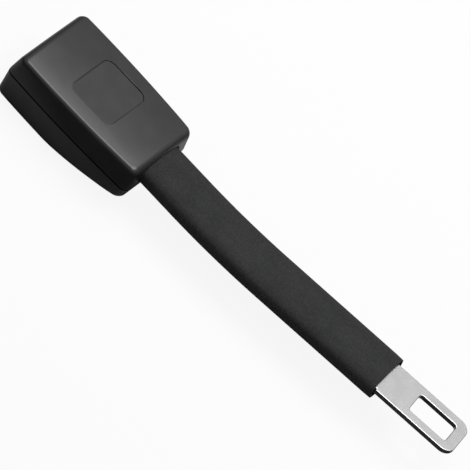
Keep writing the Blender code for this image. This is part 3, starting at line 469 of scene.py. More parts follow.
class Bench:
    """One mesh on the bench, shaped with Blender's own operators."""

    WEIGHT = "bevel_weight_edge"
    SMOOTH_ANGLE = math.radians(32.0)
    MERGE = 1e-6

    def __init__(self, thing: bpy.types.Object) -> None:
        """Take an object that has just been made."""
        self.thing = thing

    @staticmethod
    def clear() -> None:
        """Let go of whatever is selected."""
        bpy.ops.object.select_all(action="DESELECT")

    @classmethod
    def block(cls, name: str, low: Triple, high: Triple) -> "Bench":
        """Add a block between two corners.

        Args:
            name: the object's name.
            low: its lowest corner.
            high: its highest corner.

        Returns:
            The bench with the block on it.
        """
        cls.clear()
        bpy.ops.mesh.primitive_cube_add(size=1.0, location=(0.0, 0.0, 0.0))
        made = cls(bpy.context.object)
        made.thing.name = name
        made.thing.data.name = name
        size = tuple(b - a for a, b in zip(low, high))
        middle = tuple(0.5 * (a + b) for a, b in zip(low, high))
        made.select(Element.VERTEX)
        made.scale(size, (0.0, 0.0, 0.0))
        made.move(middle)
        return made

    @classmethod
    def rounded(
        cls, name: str, low: Triple, high: Triple, axis: int, radius: float, faces: int
    ) -> "Bench":
        """Add a block whose four edges along one axis are rounded.

        Args:
            name: the object's name.
            low: its lowest corner.
            high: its highest corner.
            axis: 0, 1 or 2 for X, Y or Z.
            radius: the rounding's radius.
            faces: how many faces each rounding has.

        Returns:
            The bench with the block on it.
        """
        made = cls.block(name, low, high)
        made.select(Element.EDGE, lambda p, d: abs(d[axis]) > FACING)
        made.bevel(radius, faces)
        return made

    @classmethod
    def ring(
        cls, name: str, radius: float, count: int, centre: Triple, turn: Triple, filled: bool
    ) -> "Bench":
        """Add a circle, ready to be extruded.

        Args:
            name: the object's name.
            radius: its radius.
            count: how many sides it has.
            centre: its middle.
            turn: its turn about each axis.
            filled: whether it is closed by one face.

        Returns:
            The bench with the circle on it.
        """
        cls.clear()
        fill = "NGON" if filled else "NOTHING"
        bpy.ops.mesh.primitive_circle_add(
            vertices=count, radius=radius, fill_type=fill, location=centre, rotation=turn)
        bpy.ops.object.transform_apply(location=True, rotation=True, scale=True)
        made = cls(bpy.context.object)
        made.thing.name = name
        made.thing.data.name = name
        return made

    def copy(self, name: str) -> "Bench":
        """Copy the piece with a mesh of its own."""
        other = self.thing.copy()
        other.data = self.thing.data.copy()
        other.name = name
        other.data.name = name
        bpy.context.scene.collection.objects.link(other)
        return Bench(other)

    def drop(self) -> None:
        """Take the piece off the bench for good."""
        bpy.data.objects.remove(self.thing, do_unlink=True)

    def _hold(self) -> None:
        """Make this the one selected and active object."""
        self.clear()
        self.thing.select_set(True)
        bpy.context.view_layer.objects.active = self.thing

    def _open(self) -> bmesh.types.BMesh:
        """Open the mesh with nothing in it selected."""
        bm = bmesh.new()
        bm.from_mesh(self.thing.data)
        bm.normal_update()
        for group in (bm.verts, bm.edges, bm.faces):
            for part in group:
                part.select = False
        return bm

    @staticmethod
    def _measure(part: Part) -> tuple[Vector, Vector]:
        """A part's middle, and its normal or, for an edge, its direction."""
        if isinstance(part, bmesh.types.BMVert):
            return part.co, part.normal
        if isinstance(part, bmesh.types.BMFace):
            return part.calc_center_median(), part.normal
        first, second = (vertex.co for vertex in part.verts)
        return 0.5 * (first + second), (second - first).normalized()

    def select(self, element: Element, test: Optional[Test] = None) -> int:
        """Select parts of the mesh.

        Args:
            element: which kind of part.
            test: takes a part's middle, and its normal or direction. Without it, all are selected.

        Returns:
            How many are selected.
        """
        bm = self._open()
        parts = (bm.verts, bm.edges, bm.faces)[element.value]
        found = [part for part in parts if test is None or test(*self._measure(part))]
        return self._mark(bm, element, found)

    def select_row(self, x: float, z: float) -> int:
        """Select the points of one cross-section at one height."""
        return self.select(Element.VERTEX, lambda p, n: abs(p.x - x) < CLOSE and abs(p.z - z) < CLOSE)

    def select_rim(self, test: Callable[[Vector, Vector, Vector], bool], proud: bool = False) -> int:
        """Select edges by the two faces that they join.

        Args:
            test: takes an edge's middle and the normals of its two faces, in either order.
            proud: whether only edges that stand out are taken, and none in an inner corner.

        Returns:
            How many are selected.
        """
        bm = self._open()
        found = []
        for edge in bm.edges:
            if len(edge.link_faces) != 2 or (proud and not edge.is_convex):
                continue
            a, b = (face.normal for face in edge.link_faces)
            middle = self._measure(edge)[0]
            if test(middle, a, b) or test(middle, b, a):
                found.append(edge)
        return self._mark(bm, Element.EDGE, found)

    def _mark(self, bm: bmesh.types.BMesh, element: Element, found: Sequence) -> int:
        """Write a selection back to the mesh and set the mode that goes with it."""
        bpy.context.tool_settings.mesh_select_mode = tuple(element.value == i for i in range(3))
        for part in found:
            part.select_set(True)
        bm.to_mesh(self.thing.data)
        bm.free()
        self.thing.data.update()
        return len(found)

    def _edit(self, operator: Callable, **settings: object) -> None:
        """Run one operator in edit mode on what is selected."""
        self._hold()
        bpy.ops.object.mode_set(mode="EDIT")
        operator(**settings)
        bpy.ops.object.mode_set(mode="OBJECT")

    def move(self, by: Sequence[float]) -> None:
        """Move what is selected."""
        self._edit(bpy.ops.transform.translate, value=tuple(by))

    def scale(self, by: Sequence[float], centre: Sequence[float]) -> None:
        """Scale what is selected about a point."""
        self._edit(bpy.ops.transform.resize, value=tuple(by), center_override=tuple(centre))

    def rotate(self, angle: float, axis: str, centre: Sequence[float]) -> None:
        """Turn what is selected about an axis through a point, by the right-hand rule."""
        self._edit(
            bpy.ops.transform.rotate, value=-angle, orient_axis=axis, center_override=tuple(centre))

    def shrink(self, depth: float) -> None:
        """Move the whole surface in along its normals by an even depth."""
        self.select(Element.FACE)
        self._edit(bpy.ops.transform.shrink_fatten, value=-depth, use_even_offset=True)

    def extrude(self, by: Sequence[float]) -> None:
        """Extrude what is selected, and leave the new end selected."""
        self._edit(bpy.ops.mesh.extrude_region_move, TRANSFORM_OT_translate={"value": tuple(by)})

    def bevel(self, width: float, faces: int) -> None:
        """Round the selected edges."""
        self._edit(
            bpy.ops.mesh.bevel, offset=width, offset_type="OFFSET", segments=faces, affect="EDGES",
            clamp_overlap=False, miter_outer="SHARP")

    def bevel_by(self, width: float, faces: int, share: Callable[[Vector], float]) -> None:
        """Round the selected edges, each by its own share of the width.

        Args:
            width: the full width.
            faces: how many faces the rounding has.
            share: takes an edge's direction and gives its share of the width.
        """
        mesh = self.thing.data
        bm = bmesh.new()
        bm.from_mesh(mesh)
        layer = bm.edges.layers.float.new(self.WEIGHT)
        for edge in bm.edges:
            if edge.select:
                edge[layer] = share(self._measure(edge)[1])
        bm.to_mesh(mesh)
        bm.free()
        self.modify(
            "BEVEL", width=width, segments=faces, limit_method="WEIGHT", use_clamp_overlap=False,
            offset_type="OFFSET", miter_outer="MITER_SHARP")
        self.thing.data.attributes.remove(self.thing.data.attributes[self.WEIGHT])

    def spin(self, steps: int, angle: float, centre: Triple) -> None:
        """Carry the selected ring round a vertical axis."""
        self._edit(bpy.ops.mesh.spin, steps=steps, angle=angle, center=centre, axis=(0.0, 0.0, 1.0))

    def slice(self, point: Triple, normal: Triple, keep: Keep = Keep.BOTH) -> None:
        """Cut the mesh by a plane.

        Args:
            point: a point of the plane.
            normal: its normal.
            keep: which side is left. A side that is kept alone is closed.
        """
        self.select(Element.FACE)
        self._edit(
            bpy.ops.mesh.bisect, plane_co=point, plane_no=normal, use_fill=keep is not Keep.BOTH,
            clear_inner=keep is Keep.AHEAD, clear_outer=keep is Keep.BEHIND, threshold=self.MERGE)

    def flip_outwards(self) -> None:
        """Merge doubles and turn every face outwards."""
        self.select(Element.FACE)
        self._edit(bpy.ops.mesh.remove_doubles, threshold=self.MERGE)
        self.select(Element.FACE)
        self._edit(bpy.ops.mesh.normals_make_consistent, inside=False)

    def modify(self, kind: str, **settings: object) -> None:
        """Add a modifier and apply it at once.

        Args:
            kind: the modifier's type.
            settings: its settings.
        """
        self._hold()
        modifier = self.thing.modifiers.new(kind.lower(), kind)
        for key, value in settings.items():
            setattr(modifier, key, value)
        bpy.ops.object.modifier_apply(modifier=modifier.name)

    def combine(self, operation: str, *tools: "Bench") -> None:
        """Cut, join or cross this piece with others, which are used up.

        Args:
            operation: DIFFERENCE, UNION or INTERSECT.
            tools: the other pieces.
        """
        for tool in tools:
            self.modify("BOOLEAN", operation=operation, solver="EXACT", object=tool.thing)
            tool.drop()

    def place(self, at: Triple, turn: float = 0.0) -> None:
        """Turn the whole mesh about Z and move it, in its own points."""
        self.thing.data.transform(Matrix.Translation(at) @ Matrix.Rotation(turn, 4, "Z"))
        self.thing.data.update()

    def smooth(self) -> None:
        """Shade smoothly up to an angle, with wide faces kept flat."""
        self._hold()
        bpy.ops.object.shade_smooth_by_angle(angle=self.SMOOTH_ANGLE, keep_sharp_edges=False)
        self.modify("WEIGHTED_NORMAL", mode="FACE_AREA", weight=50, keep_sharp=True)

    def deliver(
        self, body: str, slot: str, material: bpy.types.Material, node: str
    ) -> bpy.types.Object:
        """Dress the piece, hang it on its body, and hide the node that it stands for.

        Args:
            body: the body that it rides on.
            slot: the record's material slot; not used.
            material: its finish.
            node: the node that it replaces.

        Returns:
            The finished object.
        """
        self.thing.data.materials.clear()
        self.thing.data.materials.append(material)
        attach(self.thing, body)
        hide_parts(node)
        faces = len(self.thing.data.polygons)
        log.info("%s: %d faces, rides on %s, stands for %s", self.thing.name, faces, body, node)
        return self.thing


@dataclass(frozen=True)
class Draft:
    """How far a cover leans in, at each end and along its sides."""

    far: float
    strap: float
    side_far: float
    side_strap: float

    def side(self, share: float) -> float:
        """The lean of the sides at a share of the length."""
        return self.side_far * (1.0 - share) + self.side_strap * share


@dataclass
class Housing:
    """The buckle's two moulded covers, which meet in a stepped joint all round."""

    length: float = 74.4 * MM
    height: float = 26.0 * MM
    far_half_width: float = 25.2 * MM
    strap_half_width: float = 24.35 * MM
    side_crown: float = 1.15 * MM
    top_crown: float = 0.7 * MM
    corner_radius: float = 3.4 * MM
    corner_faces: int = 9
    parting: float = 14.4 * MM
    gap: float = 0.7 * MM
    top_fillet: float = 2.05 * MM
    end_fillet: float = 3.2 * MM
    bottom_fillet: float = 2.6 * MM
    fillet_faces: tuple[int, int] = (7, 6)
    flat_end: float = 32.0 * MM
    rise: float = 7.2 * MM
    rise_power: float = 1.4
    upper_draft: "Draft" = field(default_factory=lambda: Draft(1.0 * MM, 1.6 * MM, 0.4 * MM, 1.3 * MM))
    lower_draft: "Draft" = field(default_factory=lambda: Draft(1.2 * MM, 0.5 * MM, 1.0 * MM, 0.8 * MM))
    upper_wall: float = 1.8 * MM
    lower_wall: float = 2.0 * MM
    lip: float = 0.8 * MM
    lip_height: float = 1.2 * MM
    fit: float = 0.3 * MM
    rim_softness: float = 0.14 * MM
    recess_length: float = 25.0 * MM
    recess_width: float = 31.0 * MM
    recess_centre: float = 36.3 * MM
    recess_radius: float = 4.5 * MM
    recess_depth: float = 0.55 * MM
    recess_faces: int = 10
    recess_foot: float = 0.12 * MM
    recess_rim: float = 0.1 * MM
    line_width: float = 0.34 * MM
    line_depth: float = 0.3 * MM
    opening_half_width: float = 15.0 * MM
    opening_bottom: float = 4.0 * MM
    opening_top: float = 21.7 * MM
    opening_depth: float = 4.0 * MM
    opening_radius: float = 1.8 * MM
    opening_rim: float = 0.45 * MM
    mouth_oval: "Oval" = field(default_factory=lambda: Oval(15.1 * MM, 5.7 * MM))
    mouth_height: float = 17.9 * MM
    mouth_depth: float = 7.4 * MM
    mouth_faces: int = 72
    mouth_rim: float = 0.35 * MM
    corner_share: float = 0.9
    corner_reach: float = 2.0 * MM
    row_step: float = 0.1 * MM
    recess_share: float = 0.55
    opening_reach: float = 1.4 * MM
    mouth_reach: float = 3.0 * MM
    mouth_slack: float = 0.05
    mouth_facing: float = 0.85
    stations: Sequence[float] = (
        7.2, 13.0, 19.0, 25.0, 32.0, 36.0, 40.0, 44.0, 48.0, 52.0, 56.0, 60.0, 64.0, 67.2)
    lines: Sequence[float] = (-18.6, -15.9, -12.0, -8.0, -4.0, 0.0, 4.0, 8.0, 12.0, 15.9, 18.6)

    def half_width(self, x: float) -> float:
        """Half the width at the parting line."""
        t = x / self.length
        straight = self.far_half_width + (self.strap_half_width - self.far_half_width) * t
        return straight + self.side_crown * 4.0 * t * (1.0 - t)

    def underside(self, x: float) -> float:
        """Height of the underside: flat, then rising to the strap end."""
        t = max(0.0, (x - self.flat_end) / (self.length - self.flat_end))
        return self.rise * t ** self.rise_power

    def envelope(self) -> Bench:
        """Model the whole housing as one block: drafted, crowned, and rounded on all its outer edges.

        Returns:
            The bench with the closed block.
        """
        wide = self.far_half_width
        bench = Bench.block("envelope", (0.0, -wide, 0.0), (self.length, wide, self.height))
        cuts = [value * MM for value in self.stations]
        for x in cuts:
            bench.slice((x, 0.0, 0.0), (1.0, 0.0, 0.0))
        for y in self.lines:
            bench.slice((0.0, y * MM, 0.0), (0.0, 1.0, 0.0))
        bench.slice((0.0, 0.0, self.parting), (0.0, 0.0, 1.0))
        for x in [0.0, *cuts, self.length]:
            self._shape_station(bench, x, wide)
        self._shape_ends(bench)
        self._crown_top(bench)
        limit = self.corner_share * self.strap_half_width
        near = self.corner_reach
        bench.select(
            Element.EDGE,
            lambda p, d: abs(d.z) > FACING and abs(p.y) > limit and not near < p.x < self.length - near)
        bench.bevel(self.corner_radius, self.corner_faces)
        bench.select_rim(lambda p, a, b: a.z > FACING and abs(b.z) < DRAFTED)
        least = self.top_fillet / self.end_fillet
        top_faces, bottom_faces = self.fillet_faces
        bench.bevel_by(self.end_fillet, top_faces, lambda d: least + (1.0 - least) * d.y ** 2)
        bench.select_rim(lambda p, a, b: a.z < -SLOPING and abs(b.z) < DRAFTED)
        bench.bevel(self.bottom_fillet, bottom_faces)
        return bench

    def _shares(self, low: float) -> tuple[float, float]:
        """How much further a draft reaches at the faces, which the fillets then take off.

        Args:
            low: the underside's height there.

        Returns:
            The factor above the parting line, and the one below it.
        """
        above = (self.height - self.parting) / (self.height - self.top_fillet - self.parting)
        return above, (self.parting - low) / (self.parting - low - self.bottom_fillet)

    def _shape_station(self, bench: Bench, x: float, wide: float) -> None:
        """Give one cross-section its width, draft and underside.

        Args:
            bench: the block.
            x: where the section is.
            wide: the block's half width so far.
        """
        share = x / self.length
        low = self.underside(x)
        above, below = self._shares(low)
        levels = (
            (0.0, below * self.lower_draft.side(share), low),
            (self.parting, 0.0, 0.0),
            (self.height, above * self.upper_draft.side(share), 0.0),
        )
        for z, taper, lift in levels:
            bench.select_row(x, z)
            bench.scale((1.0, (self.half_width(x) - taper) / wide, 1.0), (0.0, 0.0, 0.0))
            if lift:
                bench.move((0.0, 0.0, lift))

    def _shape_ends(self, bench: Bench) -> None:
        """Lean the block's two end faces in, above and below the parting line."""
        rise = self.underside(self.length)
        above, below = self._shares(0.0)
        moves = (
            (0.0, self.height, self.upper_draft.far * above),
            (self.length, self.height, -self.upper_draft.strap * above),
            (0.0, 0.0, self.lower_draft.far * below),
            (self.length, rise, -self.lower_draft.strap * self._shares(rise)[1]),
        )
        for x, z, by in moves:
            bench.select_row(x, z)
            bench.move((by, 0.0, 0.0))

    def _crown_top(self, bench: Bench) -> None:
        """Let the block's top face fall a little towards its two long edges."""
        top = self.height - CLOSE
        step = self.row_step
        near = 0.51 * step
        rows = {round(v.co.y / step) * step for v in bench.thing.data.vertices if v.co.z > top}
        for y in sorted(rows):
            fall = self.top_crown * (y / self.far_half_width) ** 2
            if fall > LEVEL:
                bench.select(Element.VERTEX, lambda p, n, y=y: p.z > top and abs(p.y - y) < near)
                bench.move((0.0, 0.0, -fall))

    def opening(self) -> Bench:
        """The tool that cuts the button end's opening."""
        half = self.opening_half_width
        return Bench.rounded(
            "opening", (-2.0 * OVERRUN, -half, self.opening_bottom),
            (self.opening_depth, half, self.opening_top), 0, self.opening_radius, 6)

    def mouth(self) -> Bench:
        """The tool that cuts the strap end's mouth, round the sleeve."""
        turn = (0.0, math.pi / 2, 0.0)
        tool = Bench.ring("mouth", 1.0 * MM, self.mouth_faces, (0.0, 0.0, 0.0), turn, True)
        self.mouth_oval.shape(tool, (self.length - self.mouth_depth, 0.0, self.mouth_height))
        tool.select(Element.FACE)
        tool.extrude((self.mouth_depth + 2.6 * OVERRUN, 0.0, 0.0))
        tool.flip_outwards()
        return tool

    def _field(
        self, name: str, spans: Sequence[Span], floor: float, top: float, radius: float
    ) -> Bench:
        """A block with round corners over the bare field.

        Args:
            name: its name.
            spans: its low and high X, measured from the field's middle, and its low and high Y.
            floor: how far its bottom lies under the top face.
            top: how far its top stands above the top face.
            radius: its corners.

        Returns:
            The tool.
        """
        (low_x, high_x), (low_y, high_y) = spans
        return Bench.rounded(
            name, (self.recess_centre + low_x, low_y, self.height - floor),
            (self.recess_centre + high_x, high_y, self.height + top), 2, radius, self.recess_faces)

    def recess(self) -> Bench:
        """The tool that sinks the bare field in the top face."""
        half_x, half_y = 0.5 * self.recess_length, 0.5 * self.recess_width
        spans = ((-half_x, half_x), (-half_y, half_y))
        tool = self._field("recess", spans, self.recess_depth, OVERRUN, self.recess_radius)
        tool.select_rim(lambda p, a, b: a.z < -FACING and abs(b.z) < ASIDE)
        tool.bevel(self.recess_foot, 2)
        return tool

    def line(self) -> Bench:
        """The tool that cuts the fine line round three sides of the bare field."""
        half_x, half_y = 0.5 * self.recess_length, 0.5 * self.recess_width
        floor = self.recess_depth + self.line_depth
        spans = ((-half_x, half_x), (-half_y, half_y))
        tool = self._field("line", spans, floor, OVERRUN, self.recess_radius)
        inner = half_x - self.line_width
        spans = ((-inner, inner), (-half_y - 5.0 * OVERRUN, half_y - self.line_width))
        radius = self.recess_radius - self.line_width
        tool.combine("DIFFERENCE", self._field("kept", spans, floor + OVERRUN, 2.0 * OVERRUN, radius))
        return tool

    def _soften(self, bench: Bench, rim: float) -> None:
        """Break the cover's sharp outer edges: its parting rim, the opening and the mouth.

        Args:
            bench: the cover.
            rim: the height of its parting rim.
        """
        middle = 0.5 * self.length
        centre = 0.5 * (self.opening_bottom + self.opening_top)
        slack = 5.0 * CLOSE

        def parting(p: Vector, a: Vector, b: Vector) -> bool:
            outward = b.x * (p.x - middle) * 0.3 + b.y * p.y > 0.0
            return abs(p.z - rim) < 2.0 * CLOSE and abs(a.z) > FACING and abs(b.z) < ASIDE and outward

        def opening(p: Vector, a: Vector, b: Vector) -> bool:
            inside = abs(p.y) < self.opening_half_width + slack and p.z > self.opening_bottom - slack
            inward = b.y * -p.y + b.z * (centre - p.z) > 0.0
            at_end = p.x < self.opening_reach and abs(p.z - rim) > 2.0 * slack
            return at_end and inside and inward and a.x < -FACING and abs(b.x) < ASIDE

        def mouth(p: Vector, a: Vector, b: Vector) -> bool:
            level = self.mouth_oval.level(p.y, p.z - self.mouth_height)
            at_end = p.x > self.length - self.mouth_reach and a.x > self.mouth_facing
            return at_end and abs(level - 1.0) < self.mouth_slack and abs(b.x) < ASIDE

        rims = (
            (opening, self.opening_rim, 3),
            (mouth, self.mouth_rim, 3),
            (parting, self.rim_softness, 2),
        )
        for test, width, faces in rims:
            if bench.select_rim(test, True):
                bench.bevel(width, faces)

    @staticmethod
    def _layer(
        envelope: Bench, name: str, depth: float, low: Optional[float], high: Optional[float]
    ) -> Bench:
        """A copy of the whole housing, shrunk, and cut off below and above.

        Args:
            envelope: the whole housing's block.
            name: the copy's name.
            depth: how far it is shrunk.
            low: where it starts, if it is cut there.
            high: where it ends, if it is cut there.

        Returns:
            The copy.
        """
        layer = envelope.copy(name)
        if depth:
            layer.shrink(depth)
        if high is not None:
            layer.slice((0.0, 0.0, high), (0.0, 0.0, 1.0), Keep.BEHIND)
        if low is not None:
            layer.slice((0.0, 0.0, low), (0.0, 0.0, 1.0), Keep.AHEAD)
        return layer

    def upper(self, envelope: Bench) -> Bench:
        """Model the upper cover.

        Args:
            envelope: the whole housing's block.

        Returns:
            The cover.
        """
        rim = self.parting + 0.5 * self.gap
        cover = self._layer(envelope, "upper_cover_shell", 0.0, rim, None)
        core = self._layer(envelope, "core", self.upper_wall, None, None)
        end = rim + self.lip_height + self.fit
        rebate = self._layer(envelope, "rebate", self.lip, rim - 2.0 * OVERRUN, end)
        cover.combine(
            "DIFFERENCE", core, rebate, self.opening(), self.mouth(), self.recess(), self.line())
        top = self.height - 1.0 * MM
        reach = self.recess_share * self.recess_width
        cover.select_rim(
            lambda p, a, b: p.z > top and a.z > 0.95 and abs(b.z) < ASIDE and abs(p.y) < reach)
        cover.bevel(self.recess_rim, 2)
        self._soften(cover, rim)
        return cover

    def lower(self, envelope: Bench) -> Bench:
        """Model the lower cover, with the lip that the upper one fits over.

        Args:
            envelope: the whole housing's block.

        Returns:
            The cover.
        """
        rim = self.parting - 0.5 * self.gap
        cover = self._layer(envelope, "lower_cover_shell", 0.0, None, rim)
        end = self.parting + 0.5 * self.gap + self.lip_height
        cover.combine("UNION", self._layer(envelope, "lip", self.lip + self.fit, rim - OVERRUN, end))
        core = self._layer(envelope, "core", self.lower_wall, None, None)
        cover.combine("DIFFERENCE", core, self.opening(), self.mouth())
        self._soften(cover, rim)
        return cover

    def build(self, material: bpy.types.Material) -> Iterator[bpy.types.Object]:
        """Model both covers and hand them over.

        Args:
            material: the covers' plastic.

        Returns:
            The finished pieces, one by one.
        """
        envelope = self.envelope()
        for shape, node in ((self.upper, "upper_cover"), (self.lower, "lower_cover")):
            cover = shape(envelope)
            cover.place((BUTTON_END, 0.0, 0.0))
            cover.smooth()
            yield cover.deliver("base", "cover_plastic", material, node)
        envelope.drop()


@dataclass
class Oval:
    """A flat oval with full shoulders."""

    half_width: float
    half_height: float
    power: float = 2.8

    def level(self, across: float, up: float) -> float:
        """1 on the oval, less inside it, and more outside."""
        shares = (abs(across) / self.half_width, abs(up) / self.half_height)
        return sum(share ** self.power for share in shares)

    def point(self, angle: float) -> tuple[float, float]:
        """A point of the oval, across and up, at an angle."""
        c, s = math.cos(angle), math.sin(angle)
        across = self.half_width * math.copysign(abs(c) ** (2.0 / self.power), c)
        return across, self.half_height * math.copysign(abs(s) ** (2.0 / self.power), s)

    def shape(self, bench: Bench, centre: Triple) -> None:
        """Draw a circle's points out to the oval, in the plane across X.

        Args:
            bench: the circle.
            centre: where its middle goes.
        """
        for vertex in bench.thing.data.vertices:
            across, up = self.point(math.atan2(vertex.co.z, vertex.co.y))
            vertex.co = (centre[0], centre[1] + across, centre[2] + up)
        bench.thing.data.update()


@dataclass
class Arm:
    """The centre line of the arm: straight, a gentle bend in plan, and straight again."""

    height: float = 17.9 * MM
    bend_start: float = 93.0 * MM
    bend_length: float = 50.0 * MM
    bend_angle: float = math.radians(7.5)

    @property
    def radius(self) -> float:
        """The bend's radius."""
        return self.bend_length / self.bend_angle

    def point(self, distance: float) -> tuple[Vector, float]:
        """A point of the centre line.

        Args:
            distance: how far it is from the button end, along the line.

        Returns:
            The point and the line's direction there, as an angle about Z.
        """
        along = min(max(distance - self.bend_start, 0.0), self.bend_length)
        turn = self.bend_angle * along / self.bend_length
        beyond = max(distance - self.bend_start - self.bend_length, 0.0)
        x = min(distance, self.bend_start) + self.radius * math.sin(turn) + beyond * math.cos(turn)
        y = self.radius * (1.0 - math.cos(turn)) + beyond * math.sin(turn)
        return Vector((x, y, self.height)), turn

    def measure(self, point: Vector) -> tuple[float, float]:
        """How far along the arm a point lies, and how far to the side.

        Args:
            point: any point near the arm.

        Returns:
            The distance from the button end along the centre line, and the distance across it.
        """
        centre_y = self.radius
        turn = math.atan2(point.x - self.bend_start, centre_y - point.y)
        if turn <= 0.0:
            return point.x, point.y
        if turn < self.bend_angle:
            reach = math.hypot(point.x - self.bend_start, centre_y - point.y)
            return self.bend_start + self.radius * turn, self.radius - reach
        end, angle = self.point(self.bend_start + self.bend_length)
        dx, dy = point.x - end.x, point.y - end.y
        along = dx * math.cos(angle) + dy * math.sin(angle)
        return self.bend_start + self.bend_length + along, dy * math.cos(angle) - dx * math.sin(angle)


@dataclass
class Sleeve:
    """The flat oval plastic tube round the arm's cables."""

    MAP = "along_and_round"

    arm: Arm = field(default_factory=Arm)
    section: Oval = field(default_factory=lambda: Oval(14.2 * MM, 5.25 * MM))
    wall: float = 0.95 * MM
    start: float = 65.0 * MM
    end: float = 209.5 * MM
    sides: int = 96
    steps: tuple[int, int, int] = (7, 24, 16)
    rim: float = 0.22 * MM
    cut_swing: float = math.radians(3.3)
    cut_lean: float = math.radians(10.0)

    def build(self, material: bpy.types.Material) -> bpy.types.Object:
        """Model the tube: a ring carried along the arm, given a wall, with its cut ends broken.

        Args:
            material: the tube's plastic.

        Returns:
            The finished piece.
        """
        turn = (0.0, math.pi / 2, 0.0)
        bench = Bench.ring("arm_tube", 1.0 * MM, self.sides, (0.0, 0.0, 0.0), turn, False)
        self.section.shape(bench, (self.start, 0.0, self.arm.height))
        bench.select(Element.EDGE)
        before, within, after = self.steps
        for _ in range(before):
            bench.extrude(((self.arm.bend_start - self.start) / before, 0.0, 0.0))
        heading = self.arm.bend_angle
        bench.spin(within, -heading, (self.arm.bend_start, self.arm.radius, self.arm.height))
        self._check_bend(bench)
        last = (self.end - self.arm.bend_start - self.arm.bend_length) / after
        for _ in range(after):
            bench.extrude((last * math.cos(heading), last * math.sin(heading), 0.0))
        middle, _ = self.arm.point(self.end)
        bench.rotate(-self.cut_swing, "Z", middle)
        bench.rotate(-self.cut_lean, "Y", middle)
        bench.flip_outwards()
        bench.modify("SOLIDIFY", thickness=self.wall, offset=-1.0, use_even_offset=True, use_rim=True)
        bench.select_rim(lambda p, a, b: abs(a.x) > FACING and abs(b.x) < ASIDE)
        bench.bevel(self.rim, 3)
        bench.place((BUTTON_END, 0.0, 0.0))
        self._map(bench)
        bench.smooth()
        return bench.deliver("base", "sleeve_plastic", material, "arm_sleeve")

    def _check_bend(self, bench: Bench) -> None:
        """Stop if the tube's bend came out to the wrong side."""
        side = max(vertex.co.y for vertex in bench.thing.data.vertices) - self.section.half_width
        if side < 1.0 * MM:
            raise ValueError(f"the arm bends to the wrong side: {side / MM:.2f} mm")

    def _map(self, bench: Bench) -> None:
        """Lay the tube's own map on it: U along the arm and V round the section, in metres.

        Args:
            bench: the finished tube, in place.
        """
        mesh = bench.thing.data
        layer = mesh.uv_layers.new(name=self.MAP)
        girth = 2.0 * (self.section.half_width + self.section.half_height)
        for polygon in mesh.polygons:
            rounds = []
            for index in polygon.vertices:
                point = mesh.vertices[index].co - Vector((BUTTON_END, 0.0, 0.0))
                along, across = self.arm.measure(point)
                up = (point.z - self.arm.height) / self.section.half_height
                rounds.append((along, math.atan2(up, across / self.section.half_width)))
            first = rounds[0][1]
            for loop, (along, angle) in zip(polygon.loop_indices, rounds):
                turn = angle + 2.0 * math.pi * round((first - angle) / (2.0 * math.pi))
                layer.data[loop].uv = (along, turn / math.pi * girth)


@dataclass
class Tongue:
    """The stamped steel tongue at the arm's end."""

    arm: Arm = field(default_factory=Arm)
    mouth: float = 208.2 * MM
    end: float = 251.6 * MM
    half_width: float = 11.0 * MM
    thickness: float = 2.5 * MM
    tip_radius: float = 5.2 * MM
    tip_faces: int = 14
    tip_crown: float = 0.4 * MM
    tip_bar: float = 5.6 * MM
    edge: float = 0.4 * MM
    slot_length: float = 20.8 * MM
    slot_half_width: float = 6.2 * MM
    slot_radius: float = 1.6 * MM
    tail_half_width: float = 10.0 * MM
    tail_depth: float = 8.2 * MM
    neck: float = 0.6 * MM
    hole_from_mouth: float = 4.2 * MM
    hole_spread: float = 5.2 * MM
    hole_radius: float = 2.0 * MM

    def build(self, material: bpy.types.Material) -> bpy.types.Object:
        """Model the plate from a blank: round crowned tip, narrower tail, slot, and stamped edges.

        Args:
            material: the tongue's steel.

        Returns:
            The finished piece.
        """
        half = 0.5 * self.thickness
        tip = self.end - self.mouth
        wide = self.half_width
        bench = Bench.block("tongue_plate", (-self.tail_depth, -wide, -half), (tip, wide, half))
        bench.select(
            Element.EDGE,
            lambda p, d: abs(d.z) > FACING and p.x > 0.5 * tip and abs(p.y) > wide - BESIDE)
        bench.bevel(self.tip_radius, self.tip_faces)
        limit = tip - self.tip_radius - BESIDE
        rows = {round(v.co.y / MM, 3) * MM for v in bench.thing.data.vertices if v.co.x > limit}
        for y in sorted(rows):
            bench.select(Element.VERTEX, lambda p, n, y=y: p.x > limit and abs(p.y - y) < LEVEL)
            bench.move((-self.tip_crown * (y / wide) ** 2, 0.0, 0.0))
        bench.combine("DIFFERENCE", *self._cutters(half, tip - self.tip_bar))
        bench.modify(
            "BEVEL", width=self.edge, segments=4, limit_method="ANGLE", angle_limit=math.radians(60),
            use_clamp_overlap=False, offset_type="OFFSET")
        at, heading = self.arm.point(self.mouth)
        bench.place((at.x + BUTTON_END, at.y, at.z), heading)
        bench.smooth()
        return bench.deliver("base", "tongue_steel", material, "tongue")

    def _cutters(self, half: float, slot_end: float) -> Iterator[Bench]:
        """The tools that cut the slot, and the notch and the hole on each side of the tail.

        Args:
            half: half the plate's thickness.
            slot_end: where the slot ends, towards the tip.

        Returns:
            The tools, one by one.
        """
        yield Bench.rounded(
            "slot", (slot_end - self.slot_length, -self.slot_half_width, -2.0 * half),
            (slot_end, self.slot_half_width, 2.0 * half), 2, self.slot_radius, 8)
        for sign in (-1.0, 1.0):
            low, high = sorted((sign * self.tail_half_width, sign * (self.half_width + OVERRUN)))
            yield Bench.block(
                "notch", (-self.tail_depth - OVERRUN, low, -2.0 * half), (self.neck, high, 2.0 * half))
            centre = (-self.hole_from_mouth, sign * self.hole_spread, -2.0 * half)
            hole = Bench.ring("hole", self.hole_radius, 32, centre, (0.0, 0.0, 0.0), True)
            hole.select(Element.FACE)
            hole.extrude((0.0, 0.0, 4.0 * half))
            hole.flip_outwards()
            yield hole


